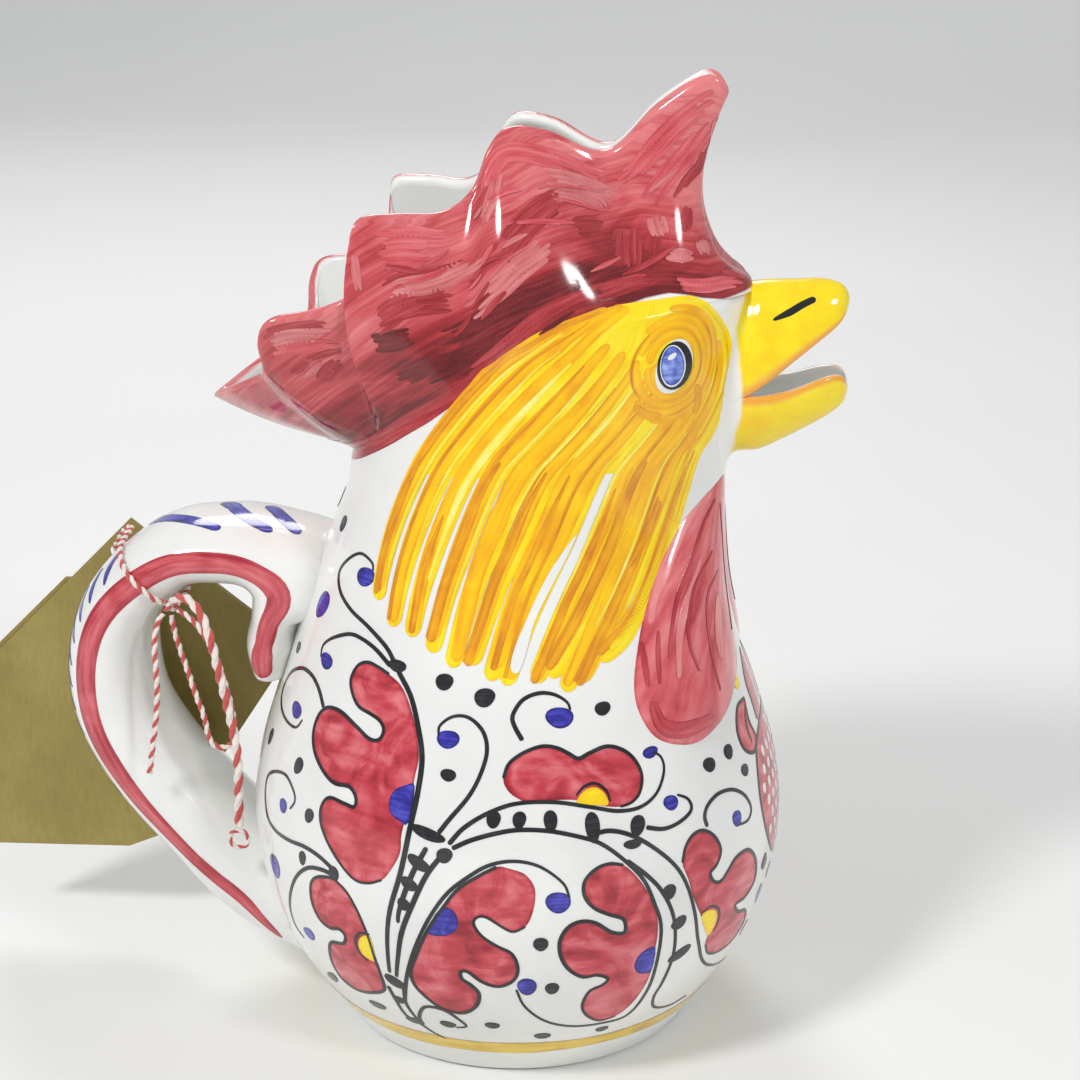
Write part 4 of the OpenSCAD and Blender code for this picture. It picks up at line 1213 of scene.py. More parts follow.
LEAVES = {
    "upper": [(152.5, 117.5), (157, 118.5), (162, 119), (166, 117.5), (168, 114), (166.5, 111),
              (162.5, 108), (157, 107), (153, 106), (151, 104), (152, 101.5), (155.5, 101), (161.5, 103),
              (169, 105), (175.5, 104.5), (179, 101.5), (179.5, 97), (177, 93), (171.5, 89.5),
              (165.5, 87.5), (159.5, 88), (156.5, 86), (156.5, 83.5), (160, 83.5), (166, 83.5),
              (168.5, 80.5), (168, 76.5), (165, 72.5), (160, 68), (154.5, 64.5), (150, 64.5),
              (145.5, 66.5), (142.5, 70.5), (140.5, 75), (140.5, 80), (139, 87.5), (138.5, 94.5),
              (138, 99.5), (140, 105.5), (143.5, 111.5), (147.5, 115.5)],
    "rear": [(161.5, 62.5), (164.5, 62), (168.5, 60.5), (171, 57.5), (171.5, 52), (169.5, 47.5),
             (165.5, 46), (161.5, 47), (159.5, 45.5), (161, 42.5), (166, 41), (168.5, 37.5), (170, 31.5),
             (168.5, 26.5), (163.5, 25), (156.5, 26.5), (150, 30), (149.5, 36), (150, 41), (151, 48),
             (153.5, 55), (157, 60)],
    "middle": [(114, 74), (118.5, 71.5), (124, 67.5), (128, 62), (132.5, 54.5), (136.5, 45.5), (139, 39),
               (138, 34), (133.5, 29), (129.5, 27), (124.5, 27), (120.5, 30.5), (119.5, 35), (121.5, 38),
               (124, 40), (124, 42.5), (122, 42.5), (118.5, 39.5), (114, 38), (110, 40), (108.5, 44),
               (110, 49), (114, 51.5), (118, 54.5), (120, 58), (119, 60), (116.5, 60), (112, 57),
               (109.5, 56), (106.5, 57.5), (104.5, 62), (104, 68), (106.5, 72), (110.5, 73.5)],
    "front": [(80, 72), (84, 73), (88, 72), (91, 69), (91, 65), (88.5, 61.5), (84.5, 59), (80.5, 57),
              (79.5, 54.5), (80, 52.5), (83.5, 53.5), (88, 57), (92, 58), (95.5, 56.5), (97.5, 52.5),
              (97, 47.5), (94.5, 43), (90.5, 40), (86.5, 40), (83, 38), (84.5, 36), (88, 34.5),
              (89.5, 29.5), (87.5, 25), (82.5, 21.5), (77, 22), (72.5, 26), (69.5, 34), (69.5, 43),
              (69.5, 52), (71.5, 59.5), (75.5, 67)],
    "cloud": [(112.5, 96), (111, 99.5), (107, 102), (101.5, 103.5), (97, 103), (93.5, 101.5), (90.5, 100),
              (87, 101), (81.5, 102), (76.5, 100.5), (73, 97.5), (71.5, 93.5), (73, 89.5), (76, 87.5),
              (79.5, 87), (85, 88), (91.5, 90), (98, 90.5), (104.5, 90), (109, 91.5), (111.5, 93.5)],
    "chest": [(62, 68.5), (60.5, 72.5), (57.5, 75), (53.5, 75), (49.5, 72), (47.5, 67.5), (49.5, 64),
              (52, 62.5), (50.5, 59.5), (47.5, 58.5), (44.5, 60.5), (40.5, 63), (34, 62.5), (29, 57),
              (28, 50.5), (33, 47.5), (38.5, 47.5), (35.5, 44), (29.5, 41.5), (26, 35.5), (30.5, 32),
              (38.5, 32), (46, 34.5), (49.5, 39), (50, 43), (54.5, 50.5), (58, 57), (60, 63)]}
# How many points of each leaf outline carry an ink line, from the first one
INKED = {"upper": 32, "rear": 22, "middle": 30, "front": 26, "cloud": 15, "chest": 24}
TENDRILS = [
    [(151, 120.5), (156, 124), (165.5, 127.5), (176.5, 130), (185.5, 133), (190, 137), (186.5, 141),
     (179, 144), (171, 143), (169, 141)],
    [(152.5, 119.5), (159.5, 122.5), (166.5, 124), (173.5, 124), (182.5, 121), (187, 118), (186.5, 115)],
    [(177.5, 104), (182.5, 107.5), (189, 109.5), (197.5, 109), (206.5, 105), (210, 99.5), (206.5, 96),
     (198.5, 94.5), (190, 95), (187, 98)],
    [(161.5, 65), (167.5, 67), (174, 67.5), (181.5, 66.5), (190, 66), (196.5, 67.5), (200.5, 72.5),
     (200.5, 77.5), (195, 81), (188, 82.5), (182.5, 80.5), (180.5, 78), (182.5, 75)],
    [(162, 63.5), (166.5, 63.5), (172, 62), (177.5, 57.5), (182.5, 50.5), (186, 43.5), (186.5, 37.5),
     (183, 35)],
    [(130, 81.5), (127, 85.5), (122, 91.5), (119, 97), (117.5, 102.5), (119, 107), (123.5, 110),
     (128.5, 110), (132.5, 107.5), (132.5, 105)],
    [(107, 105), (109.5, 108.5), (110, 111), (107, 114.5), (102, 116), (97, 115.5), (93, 113.5),
     (92, 111.5)],
    [(127, 79), (123, 83.5), (116.5, 87.5), (108.5, 90), (98, 90), (88, 88), (80, 86), (73, 86),
     (67.5, 88.5), (64, 93), (64, 96.5), (66.5, 98.5)],
    [(126, 78), (121, 80.5), (114.5, 82.5), (108, 83.5), (100, 83), (92, 81), (86, 78.5), (80, 73.5),
     (74.5, 67), (71, 59), (68.5, 51.5), (68, 40.5), (68.5, 29.5), (72.5, 21), (81.5, 20), (92, 21),
     (100.5, 24.5), (106.5, 30.5), (109, 37)],
    [(89, 81), (83.5, 81.5), (77.5, 79.5), (71, 75), (64.5, 68.5), (60.5, 61.5), (57, 52), (53.5, 42),
     (47.5, 32.5), (37.5, 26.5), (20, 21)],
    [(79, 73), (73.5, 68), (69, 62.5), (65, 54.5), (63, 46), (62.5, 38.5), (63.5, 30.5), (64.5, 25.5),
     (61.5, 20.5), (52.5, 17.5), (44.5, 18)],
    [(72.5, 80.5), (67, 79), (61.5, 79.5), (57, 81.5), (57.5, 84.5), (61, 86.5)],
    [(52, 75.5), (52.5, 78.5), (50.5, 81), (45.5, 82.5), (39, 81.5), (33.5, 78), (31, 73.5), (33.5, 71),
     (38.5, 71.5)],
    [(143.5, 28), (140, 39), (136, 49.5), (131.5, 59), (126.5, 66.5), (120, 72), (115.5, 74.5),
     (110.5, 75.5), (105.5, 75), (101, 73), (96.5, 69), (95, 65)],
    [(148, 32), (147, 27), (145.5, 21), (141.5, 18.5), (138, 15.5), (134, 13.5)],
    [(142.5, 32.5), (143.5, 27), (142.5, 22.5), (141, 18.5)],
    [(140.5, 18.5), (140.5, 22), (137, 27), (131, 27), (126.5, 23.5), (125, 21), (128.5, 20)]]
STEMS = [
    [(149.5, 119), (143.5, 113.5), (139.5, 106.5), (137, 99.5), (137, 91.5), (138, 83), (140, 70),
     (143, 59), (144.5, 51), (146, 37.5)],
    [(127.5, 77.5), (132.5, 70.5), (136.5, 61.5), (140, 52.5), (142, 44.5), (144, 36.5)],
    [(133, 77.5), (136, 71.5), (138.5, 65), (140.5, 58.5), (141, 55)]]
# Dots: chart place, half width, half height, tilt
INK_DOTS = [
    (132.5, 118, 2.5, 2.1, 0), (119, 115, 2.8, 2.4, 0), (81.5, 111, 2.1, 1.9, 0), (128.5, 96, 2, 1.7, 0),
    (102.5, 52, 1.9, 2.2, 0), (99, 37, 2, 2, 0), (207, 112, 1.7, 1.7, 0), (207, 86.5, 1.8, 2.4, 0),
    (182.5, 87, 1.9, 2.6, 20), (173, 76.5, 1.8, 2.1, 10), (174.5, 64, 1.6, 2, 0),
    (206.5, 27.5, 1.5, 1.5, 0), (175.5, 24.5, 3.4, 1.7, -30), (156.5, 21.5, 3.2, 1.5, 0),
    (116.5, 22.5, 2.1, 1.4, 0), (100.5, 17.5, 2.4, 1.4, 0), (80, 17, 2, 1.2, 0), (46.5, 90.5, 2.4, 2, 0),
    (36.5, 91, 2, 2.2, 0), (30.5, 84, 1.9, 1.8, 0), (21.5, 53, 2.2, 2, 0), (150, 120, 2.6, 1.7, 0),
    (161.5, 64, 1.8, 2.1, 0), (228, 150, 1.8, 3, 0), (201, 148, 2, 2.2, 0), (115, 86, 1.9, 2.2, 0),
    (108, 86, 1.8, 2.2, 0), (99.5, 85.5, 1.9, 2.7, 0), (88, 83, 2.1, 3.9, 0), (75, 81.5, 2, 3, 15),
    (77, 77, 2.5, 1.3, 0), (66.5, 61.5, 2.3, 2.1, 0), (62.5, 51, 2.7, 1.9, -25), (60, 40, 3.8, 1.9, -25),
    (133, 81, 5.3, 1.5, 14), (128, 76, 2.2, 2, 0), (135, 73, 3.7, 1.6, 30), (137.5, 67, 2.7, 1.6, 32),
    (139, 61, 2.1, 1.6, 30), (145, 34.5, 3.2, 2, 32), (145.5, 27.5, 1.9, 1.3, 15),
    (143.5, 19.5, 2.3, 1.5, 5), (131, 21, 2.4, 1.5, 10), (21.8, 54, 1.4, 2.2, 20)]
BLUE_DOTS = [
    (172.5, 139, 3.3, 2.7, 0), (195.5, 127, 3.1, 4.4, 25), (182.5, 115, 2.9, 2.2, 0),
    (192.5, 99, 3.1, 2.3, 0), (186.5, 74.5, 2.3, 1.9, 0), (191.5, 54.5, 3.4, 3.8, 0),
    (177.5, 39, 2.8, 2.2, -20), (129.5, 104.5, 2.9, 2.5, 0), (95.5, 110, 3.6, 2.8, 0),
    (67.5, 98.5, 2.4, 1.5, 0), (63.5, 85, 2.3, 2.1, 0), (39, 73.5, 2.1, 2.4, 0), (98, 64, 3.2, 3.1, 0),
    (106, 38, 2.7, 3, 0), (18.4, 41.9, 2.2, 3.6, -20), (19.5, 31, 2.4, 3, -30), (11, 46, 2, 2.6, -20)]
YOLK_DOTS = [(19, 104.4, 2.2, 1.8, 20)]
# Half dots that lean on a stem or on the edge of a leaf
BLUE_HALVES = [
    [(138.2, 92.2), (141, 92), (144.3, 90.2), (145.4, 87.2), (144.4, 84.4), (141.6, 83), (138.8, 83)],
    [(130, 60), (131.6, 56.5), (132.6, 53.6), (129, 53.2), (125.6, 54.6), (124, 57.6), (125, 61),
     (127.6, 62)],
    [(69.4, 45), (72, 45.6), (74.8, 43.6), (75.4, 40.4), (73.6, 37.6), (70.6, 36.8), (69.2, 37.2)]]
YOLK_HALVES = [
    [(150.2, 48), (153, 47.6), (154.8, 45), (154.6, 42), (152.6, 40.4), (149.8, 40.6)],
    [(83, 88), (83.6, 90.8), (86, 92.6), (89, 92.4), (91.2, 90.8), (91.8, 89.2), (87, 88.4)],
    [(54.2, 50), (51.4, 51), (48.2, 49.4), (47.2, 46.2), (48.2, 43.2), (50.2, 42.6)]]
HALF_ARCS = [
    [(150.4, 49), (153.8, 48.4), (155.9, 45.2), (155.4, 41.6), (152.8, 39.4)],
    [(82.2, 88.6), (83, 91.4), (86, 93.6), (89.4, 93.2), (92, 91.2)],
    [(54, 51.2), (50.8, 52), (47.2, 49.8), (46, 46.2), (47.2, 42.4)]]
# Ornament on the chest, one half of it: it is the same on both sides of the chest line
FRUIT = [(0, 91), (9, 90.3), (16.5, 88), (21, 84.5), (24, 77), (23.8, 69), (20.5, 61), (14, 54), (6, 50)]
MOON = [(17, 99.6), (24.4, 99.2), (28.6, 94.2), (27.6, 88.8), (22, 86), (17.2, 88.4), (18.6, 93.6)]
PETAL = [(3, 109.5), (10.4, 102.4), (10.8, 96.5), (11.2, 91.4), (6.3, 90), (2.4, 92), (1.6, 100)]
INK_W = 1.05
STEM_W = 1.5
ARC_W = 0.8
INK_LIFT = 0.13
# Yellow line round the foot: height of its middle, width
BASE_BAND = (11.5, 4.8)


def leaves():
    """Red leaves, and the red shapes of the chest ornament."""
    red = Paint(body)
    for outline in list(LEAVES.values()) + [MOON, PETAL]:
        red.fill(outline)
    red.fill(whole_fruit(), both=False)
    red.build("painted_leaves", leaf_red, "red_glaze")


def whole_fruit():
    """Outline of the fruit on both sides of the chest line."""
    return FRUIT + [(0, 49)] + [(-a, h) for a, h in FRUIT[:0:-1]]


# Scales of the fruit: heights of the rows, gap in a row, least distance from the edge, half axes
SCALE_ROWS = np.arange(53, 90, 4.4)
SCALE_GAP = 5.2
SCALE_EDGE = 2.4
SCALE = (1.3, 1.6)


def fruit_scales():
    """Rows of pale scales on the fruit of the chest ornament."""
    pale = Paint(body)
    edge = np.array(whole_fruit())
    for row, h in enumerate(SCALE_ROWS):
        for a in np.arange(-24, 25, SCALE_GAP) + (SCALE_GAP / 2 if row % 2 else 0):
            spot = np.array([[a, h]])
            if inside(spot, edge)[0] and edge_distance(spot, edge)[0] > SCALE_EDGE:
                pale.dot(a, h, *SCALE, both=False)
    pale.build("painted_fruit_scales", glaze, "glaze")


def ink_lines():
    """Thin dark lines: outlines, tendrils and stems."""
    line = Paint(body)
    for name, outline in LEAVES.items():
        count = INKED[name]
        route = outline[:count] + ([outline[0]] if count == len(outline) else [])
        line.stroke(route, INK_W, INK_LIFT, (0.8, 0.6))
    for route in TENDRILS:
        line.stroke(route, INK_W, INK_LIFT, (1.2, 0.6))
    for route in STEMS:
        line.stroke(route, STEM_W, INK_LIFT, (0.9, 0.7))
    for route in HALF_ARCS:
        line.stroke(route, ARC_W, INK_LIFT, (0.7, 0.6))
    for route in (MOON + MOON[:1], PETAL[:4], [(18, 98), (21.5, 94), (21.5, 88.5)]):
        line.stroke(route, INK_W, INK_LIFT, (0.8, 0.6))
    fruit = whole_fruit()
    line.stroke(fruit + fruit[:1], INK_W, INK_LIFT, (0.9, 0.9), both=False)
    line.build("painted_lines", ink, "glaze")


def dots():
    """Dark, blue and yellow dots, and half dots on the leaves."""
    for name, places, halves, finish, lift in (("ink_dots", INK_DOTS, [], ink, 0.16),
                                               ("blue_dots", BLUE_DOTS, BLUE_HALVES, blue, 0.1),
                                               ("yolk_dots", YOLK_DOTS, YOLK_HALVES, yolk, 0.1)):
        spots = Paint(body)
        for a, h, wide, high, tilt in places:
            spots.dot(a, h, wide, high, tilt, lift)
        for outline in halves:
            spots.fill(outline, lift, 3, 1.2)
        spots.build("painted_" + name, finish, "yellow_glaze" if finish is yolk else "glaze")


def base_band():
    """Yellow line round the foot."""
    band = Paint(body)
    rows, columns = 240, 5
    turn = np.linspace(0, 2 * np.pi * BELLY_R, rows + 1)[:-1]
    share = np.linspace(-1, 1, columns)
    half = BASE_BAND[1] / 2 + 0.2 * np.sin(turn / 17) + 0.15 * np.sin(turn / 7.3)
    middle = BASE_BAND[0] + 0.3 * np.sin(turn / BELLY_R + 1)
    chart = np.stack([np.repeat(turn[:, None], columns, 1), middle[:, None] + share * half[:, None]], -1)
    brush = np.stack([chart[..., 0], chart[..., 1], half[:, None] * (1 - np.abs(share))], -1)
    faces = grid_faces(rows, columns, False)
    last = (rows - 1) * columns
    faces += [(last + j, last + j + 1, j + 1, j) for j in range(columns - 1)]
    band.add(chart.reshape(-1, 2), faces, brush.reshape(-1, 3), 0.08, False)
    band.build("painted_base_band", ochre, "yellow_glaze")


# Hackle: its rear and front edges from the crown down, and the ends of its feathers
HACKLE_REAR = [(83.5, 212), (90.5, 211), (107.5, 207), (117.5, 203), (127.5, 199), (137.5, 192),
               (146, 184.5), (153, 177), (160.5, 167.5), (166, 155.5), (167, 143.5), (165.5, 134)]
HACKLE_FRONT = [(57, 213), (48.5, 211), (37, 205.5), (27.5, 199.5), (22.6, 193), (22.4, 187), (27, 181),
                (36.5, 173.5), (43, 168.5), (52, 149), (67, 130.5), (80.5, 122)]
HACKLE_ENDS = [(163, 134.5), (154.5, 129), (146.5, 127.5), (138, 124.5), (130.5, 121.5), (124, 122.5),
               (117.5, 119), (112.5, 118), (103, 118.5), (98, 119.5), (93.5, 116), (88.5, 118),
               (81.5, 122.5)]
# White gap between two of the feathers
HACKLE_GAP = [(90, 154), (96, 148), (101.5, 141), (106.5, 133), (110, 126.5), (111, 122), (108.5, 121),
              (106, 126), (103.5, 133), (98.5, 140.5), (93.5, 147.5)]
# Pale streaks: share between the edges, start and end between crown and hem, width
HACKLE_GLEAMS = [(0.06, 0.2, 0.9, 0.9), (0.15, 0.3, 0.85, 0.8), (0.24, 0.35, 0.9, 2.2),
                 (0.35, 0.4, 0.94, 0.9), (0.45, 0.45, 0.8, 0.8), (0.52, 0.42, 0.66, 1.2),
                 (0.7, 0.5, 0.9, 1.0), (0.86, 0.6, 0.92, 0.8)]
# Short dark strokes under the eye and at the front of the neck
CHEEK_MARKS = [[(75, 186), (69, 183.5), (63, 183)], [(49, 190), (45.5, 185.5), (46, 181.5)],
               [(58, 160), (64, 150), (70, 144)]]
# Middle of the eye on the chart, and how far it leans
EYE = (61.5, 196)
EYE_TILT = 14


def hackle_line(share, first=0.0, last=1.0, count=10):
    """A line between the rear edge (0) and the front edge (1), from crown (0) to hem (1)."""
    s = np.linspace(first, last, count) * (len(HACKLE_REAR) - 1)
    return (1 - share) * spline(HACKLE_REAR, s) + share * spline(HACKLE_FRONT, s)


def hackle():
    """Yellow neck feathers with long orange strokes over them, darker at their ends."""
    ground = Paint(body)
    lines = np.stack([hackle_line(q, 0, 0.72, 64) for q in np.linspace(0, 1, 56)], 1)
    ground.sheet(lines, 0.09)
    rear, front = HACKLE_REAR[-1][0], HACKLE_FRONT[-1][0]
    shares = [(rear - a) / (rear - front) for a, _ in HACKLE_ENDS]
    for share, end in zip(shares, HACKLE_ENDS):
        ground.stroke([*hackle_line(share, 0.5, 0.92, 5), end], 5.8, 0.12, (0.9, 0.8), 5)
    ground.stroke(hackle_line(0.985, 0.02, 0.97, 24), 2.4, 0.2, (0.5, 0.7), 5)
    ground.build("painted_hackle_ground", yolk, "yellow_glaze")
    feather, dark, pale, gap = Paint(body), Paint(body), Paint(body), Paint(body)
    for i, (share, end) in enumerate(zip(shares, HACKLE_ENDS)):
        tip = np.array(end) + [dice.uniform(-1.5, 1.0), dice.uniform(-0.5, 3.0)]
        start = dice.uniform(0.02, 0.1) if share < 0.3 else dice.uniform(0.24, 0.36)
        route = [*hackle_line(share - 0.01, start, 0.88, 8), tip]
        feather.stroke(route, dice.uniform(3.6, 5.2), 0.15 + 0.008 * (i % 3), (0.5, 0.75), 5)
        if i % 2:
            route = [*hackle_line(share - 0.03, start + 0.1, 0.9, 8), tip + [1.8, 0.4]]
            dark.stroke(route, dice.uniform(0.6, 1.0), 0.19, (0.4, 1.3))
        if i % 3 != 1:
            route = [*hackle_line(share - 0.014, dice.uniform(0.66, 0.8), 0.9, 4), tip + [0.6, -0.5]]
            dark.stroke(route, dice.uniform(1.6, 2.6), 0.2, (0.3, 1.0), 5)
    for share, first, last, wide in HACKLE_GLEAMS:
        pale.stroke(hackle_line(share, first, last, 8), wide, 0.205, (0.3, 0.3), 5)
    dark.stroke(hackle_line(0.012, 0.1, 0.98, 20), 1.9, 0.2, (0.5, 0.9), 5)
    for spot in CHEEK_MARKS:
        dark.stroke(spot, 2.6, 0.235, (0.7, 0.5), 5)
    gap.fill(HACKLE_GAP, 0.25)
    gap.build("painted_hackle_gap", glaze, "glaze")
    eye_rings(feather, dark)
    feather.build("painted_hackle_strokes", orange, "yellow_glaze")
    dark.build("painted_hackle_ends", rust, "yellow_glaze")
    pale.build("painted_hackle_gleams", straw, "yellow_glaze")


def ellipse(wide, high, first=0, last=360, count=16, shift=(0, 0), tilt=EYE_TILT):
    """Chart points on an ellipse round the eye, half axes in mm on the wall."""
    turn = np.radians(np.linspace(first, last, count))
    centre = np.array([[EYE[0] + shift[0], EYE[1] + shift[1]]])
    pa, ph = body.slopes(centre)
    ax = body.chart_step(np.repeat(centre, 2, 0), np.concatenate([unit(pa), unit(ph)]))
    c, s = math.cos(math.radians(tilt)), math.sin(math.radians(tilt))
    x, y = wide * np.cos(turn), high * np.sin(turn)
    return [tuple(p) for p in centre + (c * x + s * y)[:, None] * ax[0] + (c * y - s * x)[:, None] * ax[1]]


# Strokes round the eye: half axes, first and last angle, width. The thin ones have a number of points too
EYE_STROKES = [(7.2, 8.4, 20, 372, 2.8), (9.9, 10.9, 30, 372, 2.7), (12.4, 12.6, 60, 330, 2.5),
               (14.8, 14.6, 95, 300, 2.4)]
EYE_HAIRS = [(11.3, 11.7, -30, 60, 10, 0.7), (8.6, 9.6, 100, 250, 14, 0.6), (13.6, 13.7, 150, 280, 12, 0.6)]


def eye_rings(feather, dark):
    """Strokes that run round the eye."""
    for i, (wide, high, first, last, width) in enumerate(EYE_STROKES):
        feather.stroke(ellipse(wide, high, first, last, 26), width, 0.21 + 0.006 * i, (0.7, 0.7), 5)
    for wide, high, first, last, count, width in EYE_HAIRS:
        dark.stroke(ellipse(wide, high, first, last, count), width, 0.25, (0.4, 0.4))


# Layers of an eye from the wall outwards: half axes, shift, tilt, lift, finish
EYE_LAYERS = [
    (5.2, 7.1, (0.1, -0.2), -6, 0.26, glaze), (5.0, 6.4, (0, 0), EYE_TILT, 0.3, ink),
    (3.5, 5.6, (1.15, 0), EYE_TILT, 0.34, glaze), (3.2, 5.2, (1.35, 0.1), EYE_TILT, 0.38, eye_blue),
    # Last layer: a painted glint, a small white highlight on the iris.
    (1.3, 0.7, (2.2, 2.6), 30, 0.42, glaze)]


def eyes():
    """Painted eyes on their low bosses."""
    for side, name in ((1, "eye_right"), (-1, "eye_left")):
        layers = []
        for wide, high, shift, tilt, lift, finish in EYE_LAYERS:
            layer = Paint(body)
            layer.fill(ellipse(wide, high, shift=shift, tilt=tilt)[:-1], lift, 3, 1.0, False)
            layers.append((layer, finish))
        points = np.concatenate([p for layer, _ in layers for p in layer.points]) * [1, side, 1]
        normals = np.concatenate([p for layer, _ in layers for p in layer.normals]) * [1, side, 1]
        brush = np.concatenate([p for layer, _ in layers for p in layer.brush])
        faces, finish, first = [], [], 0
        for k, (layer, _) in enumerate(layers):
            faces += [[v + first for v in (f if side > 0 else f[::-1])] for f in layer.faces]
            finish += [k] * len(layer.faces)
            first += layer.count
        piece(name + "_painted", points, faces, [m for _, m in layers], [name],
              brush, normals, finish)


# Broad strokes on the comb: tone, width, and a route of places on the rim list and shares of the height
COMB_STROKES = [
    (0, 7.5, [(4.5, 0.34), (5.3, 0.27), (6.7, 0.26), (8.9, 0.3), (10.3, 0.3)]),
    (0, 4.5, [(6.1, 0.1), (7.7, 0.13), (9.3, 0.15), (10.6, 0.15)]),
    (0, 4.0, [(10.6, 0.2), (9.6, 0.2), (8.5, 0.16)]),
    (1, 4.0, [(3.9, 0.24), (4.8, 0.2), (5.6, 0.17), (6.4, 0.11), (8.2, 0.06), (9.7, 0.05)]),
    (2, 5.3, [(7.5, 0.88), (6.8, 0.93), (6, 0.93), (5.3, 0.91), (4.5, 0.89), (3.8, 0.86)]),
    (3, 7.5, [(5.3, 0.79), (4.8, 0.78), (4.3, 0.76), (4.1, 0.66)]),
    (3, 3.4, [(6.5, 0.88), (6.8, 0.8), (7.4, 0.74)]),
    (1, 6.5, [(4.9, 0.72), (5.5, 0.64), (6.1, 0.56), (6.8, 0.5)]),
    (1, 5.0, [(4.9, 0.56), (4.6, 0.57), (4.3, 0.58)]),
    (1, 8.5, [(4.3, 0.45), (4.05, 0.44), (3.8, 0.41)]),
    (3, 6.5, [(5.3, 0.5), (5.8, 0.44), (6.9, 0.39), (8.4, 0.42)]),
    (2, 4.7, [(10.6, 0.94), (9.5, 0.92), (8.4, 0.87)]),
    (1, 6.5, [(10.4, 0.55), (9.6, 0.57), (8.8, 0.52)]),
    (3, 5.0, [(10.3, 0.66), (9.5, 0.66), (8.5, 0.67), (7.4, 0.6)]),
    (2, 7.5, [(10.4, 0.84), (9.9, 0.84), (9.3, 0.82)]),
    (1, 1.4, [(10.4, 0.69), (9.9, 0.73), (9.1, 0.73), (7.8, 0.68)]),
    (3, 2.0, [(11, 0.9), (10.9, 0.79), (10.8, 0.66)]),
    (1, 5.0, [(10.6, 0.52), (10.1, 0.56), (9.5, 0.59)]),
    (0, 5.0, [(10.8, 0.42), (10.3, 0.4), (9.8, 0.4)]),
    (1, 2.2, [(16.4, 0.95), (15.7, 0.96), (14.9, 0.95), (14.3, 0.9)]),
    (3, 4.0, [(16.1, 0.89), (15.3, 0.89), (14.4, 0.84)]),
    (2, 3.0, [(16.1, 0.82), (14.9, 0.8), (14.1, 0.76)]),
    (1, 1.4, [(15.2, 0.71), (14.6, 0.72), (14.1, 0.7)]),
    (1, 2.0, [(15.8, 0.62), (15.4, 0.67), (15.1, 0.71)]),
    (3, 1.5, [(15.5, 0.57), (15.1, 0.63), (14.7, 0.68)]),
    (1, 4.0, [(15.1, 0.52), (14.7, 0.6), (14.3, 0.66)]),
    (2, 5.0, [(1.5, 0.95), (2.6, 0.88), (3.4, 0.83), (3.9, 0.82)]),
    (2, 5.0, [(1.2, 0.87), (2.2, 0.72), (3, 0.66), (3.5, 0.6)]),
    (1, 2.4, [(0.6, 0.86), (1.6, 0.66), (2.4, 0.58), (3, 0.52)]),
    (3, 4.8, [(3.4, 0.52), (3.4, 0.45), (3.4, 0.38)]),
    (1, 3.6, [(3.5, 0.42), (3.6, 0.37), (3.7, 0.32)]),
    (1, 2.6, [(2.6, 0.46), (2.75, 0.4), (2.9, 0.33)]),
    (3, 3.0, [(3.5, 0.3), (3.2, 0.26), (2.9, 0.23)]),
    (1, 6.5, [(3.9, 0.53), (4, 0.42), (4.1, 0.3)]),
    (2, 3.5, [(3.7, 0.18), (3.1, 0.09), (2.2, 0.07), (1.3, 0.05)]),
    (1, 1.6, [(2.5, 0.12), (1.6, 0.1), (0.8, 0.08)]),
    (1, 4.0, [(4.8, 0.19), (4.1, 0.21), (3.7, 0.19)]),
    (3, 4.5, [(2.5, 0.29), (2.5, 0.25), (2.5, 0.2)]),
    (3, 2.4, [(1, 0.9), (0.6, 0.84), (0.3, 0.78)])]


# Lower edge of the comb over the nape, on the chart of the body
COMB_EDGE = [(129, 199), (139, 193), (150, 186.8), (165, 180.2), (183, 173.2), (206, 167), (232, 163.8)]
# Lift of the first stroke, further lift of each one after it, number of fine strokes at the end
COMB_LIFT = 0.06
COMB_STEP = 0.003
COMB_HAIRS = 26


def comb_paint():
    """Overlapping brush strokes on the comb that follow its lobes."""
    face = Wall(lambda p: comb_out(p[..., 0], p[..., 1]), (0.04, 0.01)).facing((6.0, 0.5), (0, 1, 0))
    tones = [Paint(face) for _ in comb_tones]
    lifts = COMB_LIFT + COMB_STEP * np.arange(len(COMB_STROKES) + COMB_HAIRS)
    for lift, (tone, width, route) in zip(lifts, COMB_STROKES):
        tones[tone].swept(route, width, lift)
    for lift in lifts[len(COMB_STROKES):]:
        t, s = dice.uniform(2.6, 10.4), dice.uniform(0.12, 0.88)
        long, drift = dice.uniform(0.5, 1.5), dice.uniform(-0.06, 0.06)
        # Fine strokes take darker tones lower on the comb: partly painted shade towards its base.
        tone = int(np.clip(1.5 + 3 * (s - 0.4) + dice.normal(0, 0.7), 0 if s < 0.3 else 1, 3))
        route = [(t + q * long, s + q * drift) for q in (0, 0.35, 0.7, 1)]
        tones[tone].stroke(route, dice.uniform(0.8, 1.8), lift, (0.4, 0.3), 3, soft=True)
    for paint, finish, name in zip(tones, comb_tones, ("dark", "deep", "bright", "pale")):
        paint.build("painted_comb_" + name, finish, "red_glaze")
    edge = Paint(body)
    edge.stroke(COMB_EDGE, 5.0, 0.1, (0.4, 1.0), 5)
    edge.build("painted_comb_edge", comb_tones[1], "red_glaze")


# Nostril: number of the beak section, angle across from the far lip
NOSTRIL = [(2.35, 141.5), (2.9, 139), (3.3, 135.5), (3.78, 132.5)]


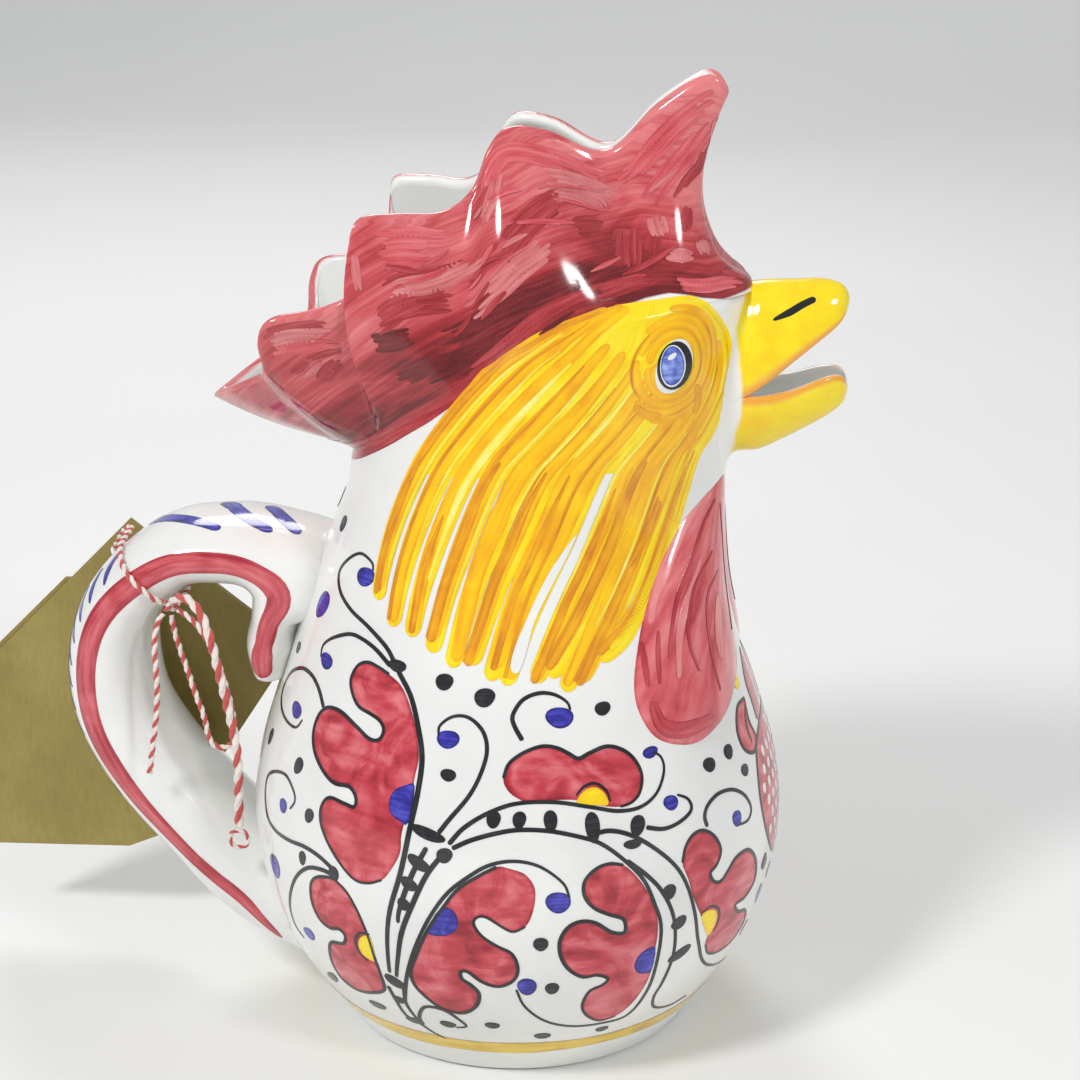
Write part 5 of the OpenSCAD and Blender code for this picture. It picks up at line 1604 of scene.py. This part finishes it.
def nostrils():
    """Dark slit on each side of the upper beak."""

    def side(p):
        spans = len(UPPER_CUTS) + 1
        on = [beak_shell(UPPER_CUTS, UPPER_SEAT, [u / spans], np.array([b]), False)[0, 0]
              for u, b in p.reshape(-1, 2)]
        return np.array(on).reshape(p.shape[:-1] + (3,))

    slit = Paint(Wall(side, (0.02, 1.0)).facing(NOSTRIL[1], (0, -1, 0)))
    slit.stroke(NOSTRIL, 1.9, 0.08, (0.4, 0.9), 5)
    slit.build("painted_nostrils", ink, "glaze")


# Paint on the handle, as places along it and angles round it: the stripe, the broad strokes on top with
# their widths, the places of the small strokes down the back
STRIPE = [(0.05, 186), (1, 182), (2, 176), (3, 172), (4, 176), (5, 178), (6, 176), (7, 170), (8, 166),
          (9, 164), (10, 163), (11, 163), (12, 163), (12.6, 170), (13, 175), (13.4, 175), (14, 168),
          (14.3, 162)]
TOP_DASHES = [(4.2, [(6.35, 78), (5.75, 105), (5.05, 128)]), (4.6, [(5.25, 72), (4.6, 108), (4.1, 122)]),
              (4.6, [(4.4, 78), (3.95, 102), (3.72, 116)])]
BACK_DASHES = (6.75, 7.2, 7.6, 8.0, 8.4, 8.8, 9.2, 9.6, 10.1, 10.6)


def handle_chart(p):
    """Chart of the handle: place along it and angle round it."""
    return handle_face(p[..., 0], p[..., 1])


def handle_paint():
    """Red stripe along each edge of the handle, blue strokes across its back."""
    face = Wall(handle_chart, (0.02, 1.0)).facing((8.0, 90.0), grip(8.0, 90.0, 1.0) - grip(8.0, 90.0))
    stripe = Paint(face)
    stripe.stroke(STRIPE, 6.5, 0.1, (1.0, 0.4), 7, 1.5)
    stripe.build("painted_handle_stripe", stripe_red, "red_glaze")
    dash = Paint(face)
    for wide, route in TOP_DASHES:
        dash.stroke(route, wide, 0.1, (1.0, 0.7), 7, both=False)
    for k, u in enumerate(BACK_DASHES):
        dash.stroke([(u, 106), (u + 0.22, 122), (u + 0.4, 142 - k)], 2.6 - 0.06 * k, 0.1, (0.9, 0.35), 5)
    dash.build("painted_handle_dashes", blue, "glaze")


leaves()
fruit_scales()
ink_lines()
dots()
base_band()
hackle()
eyes()
comb_paint()
wattle_paint()
nostrils()
handle_paint()
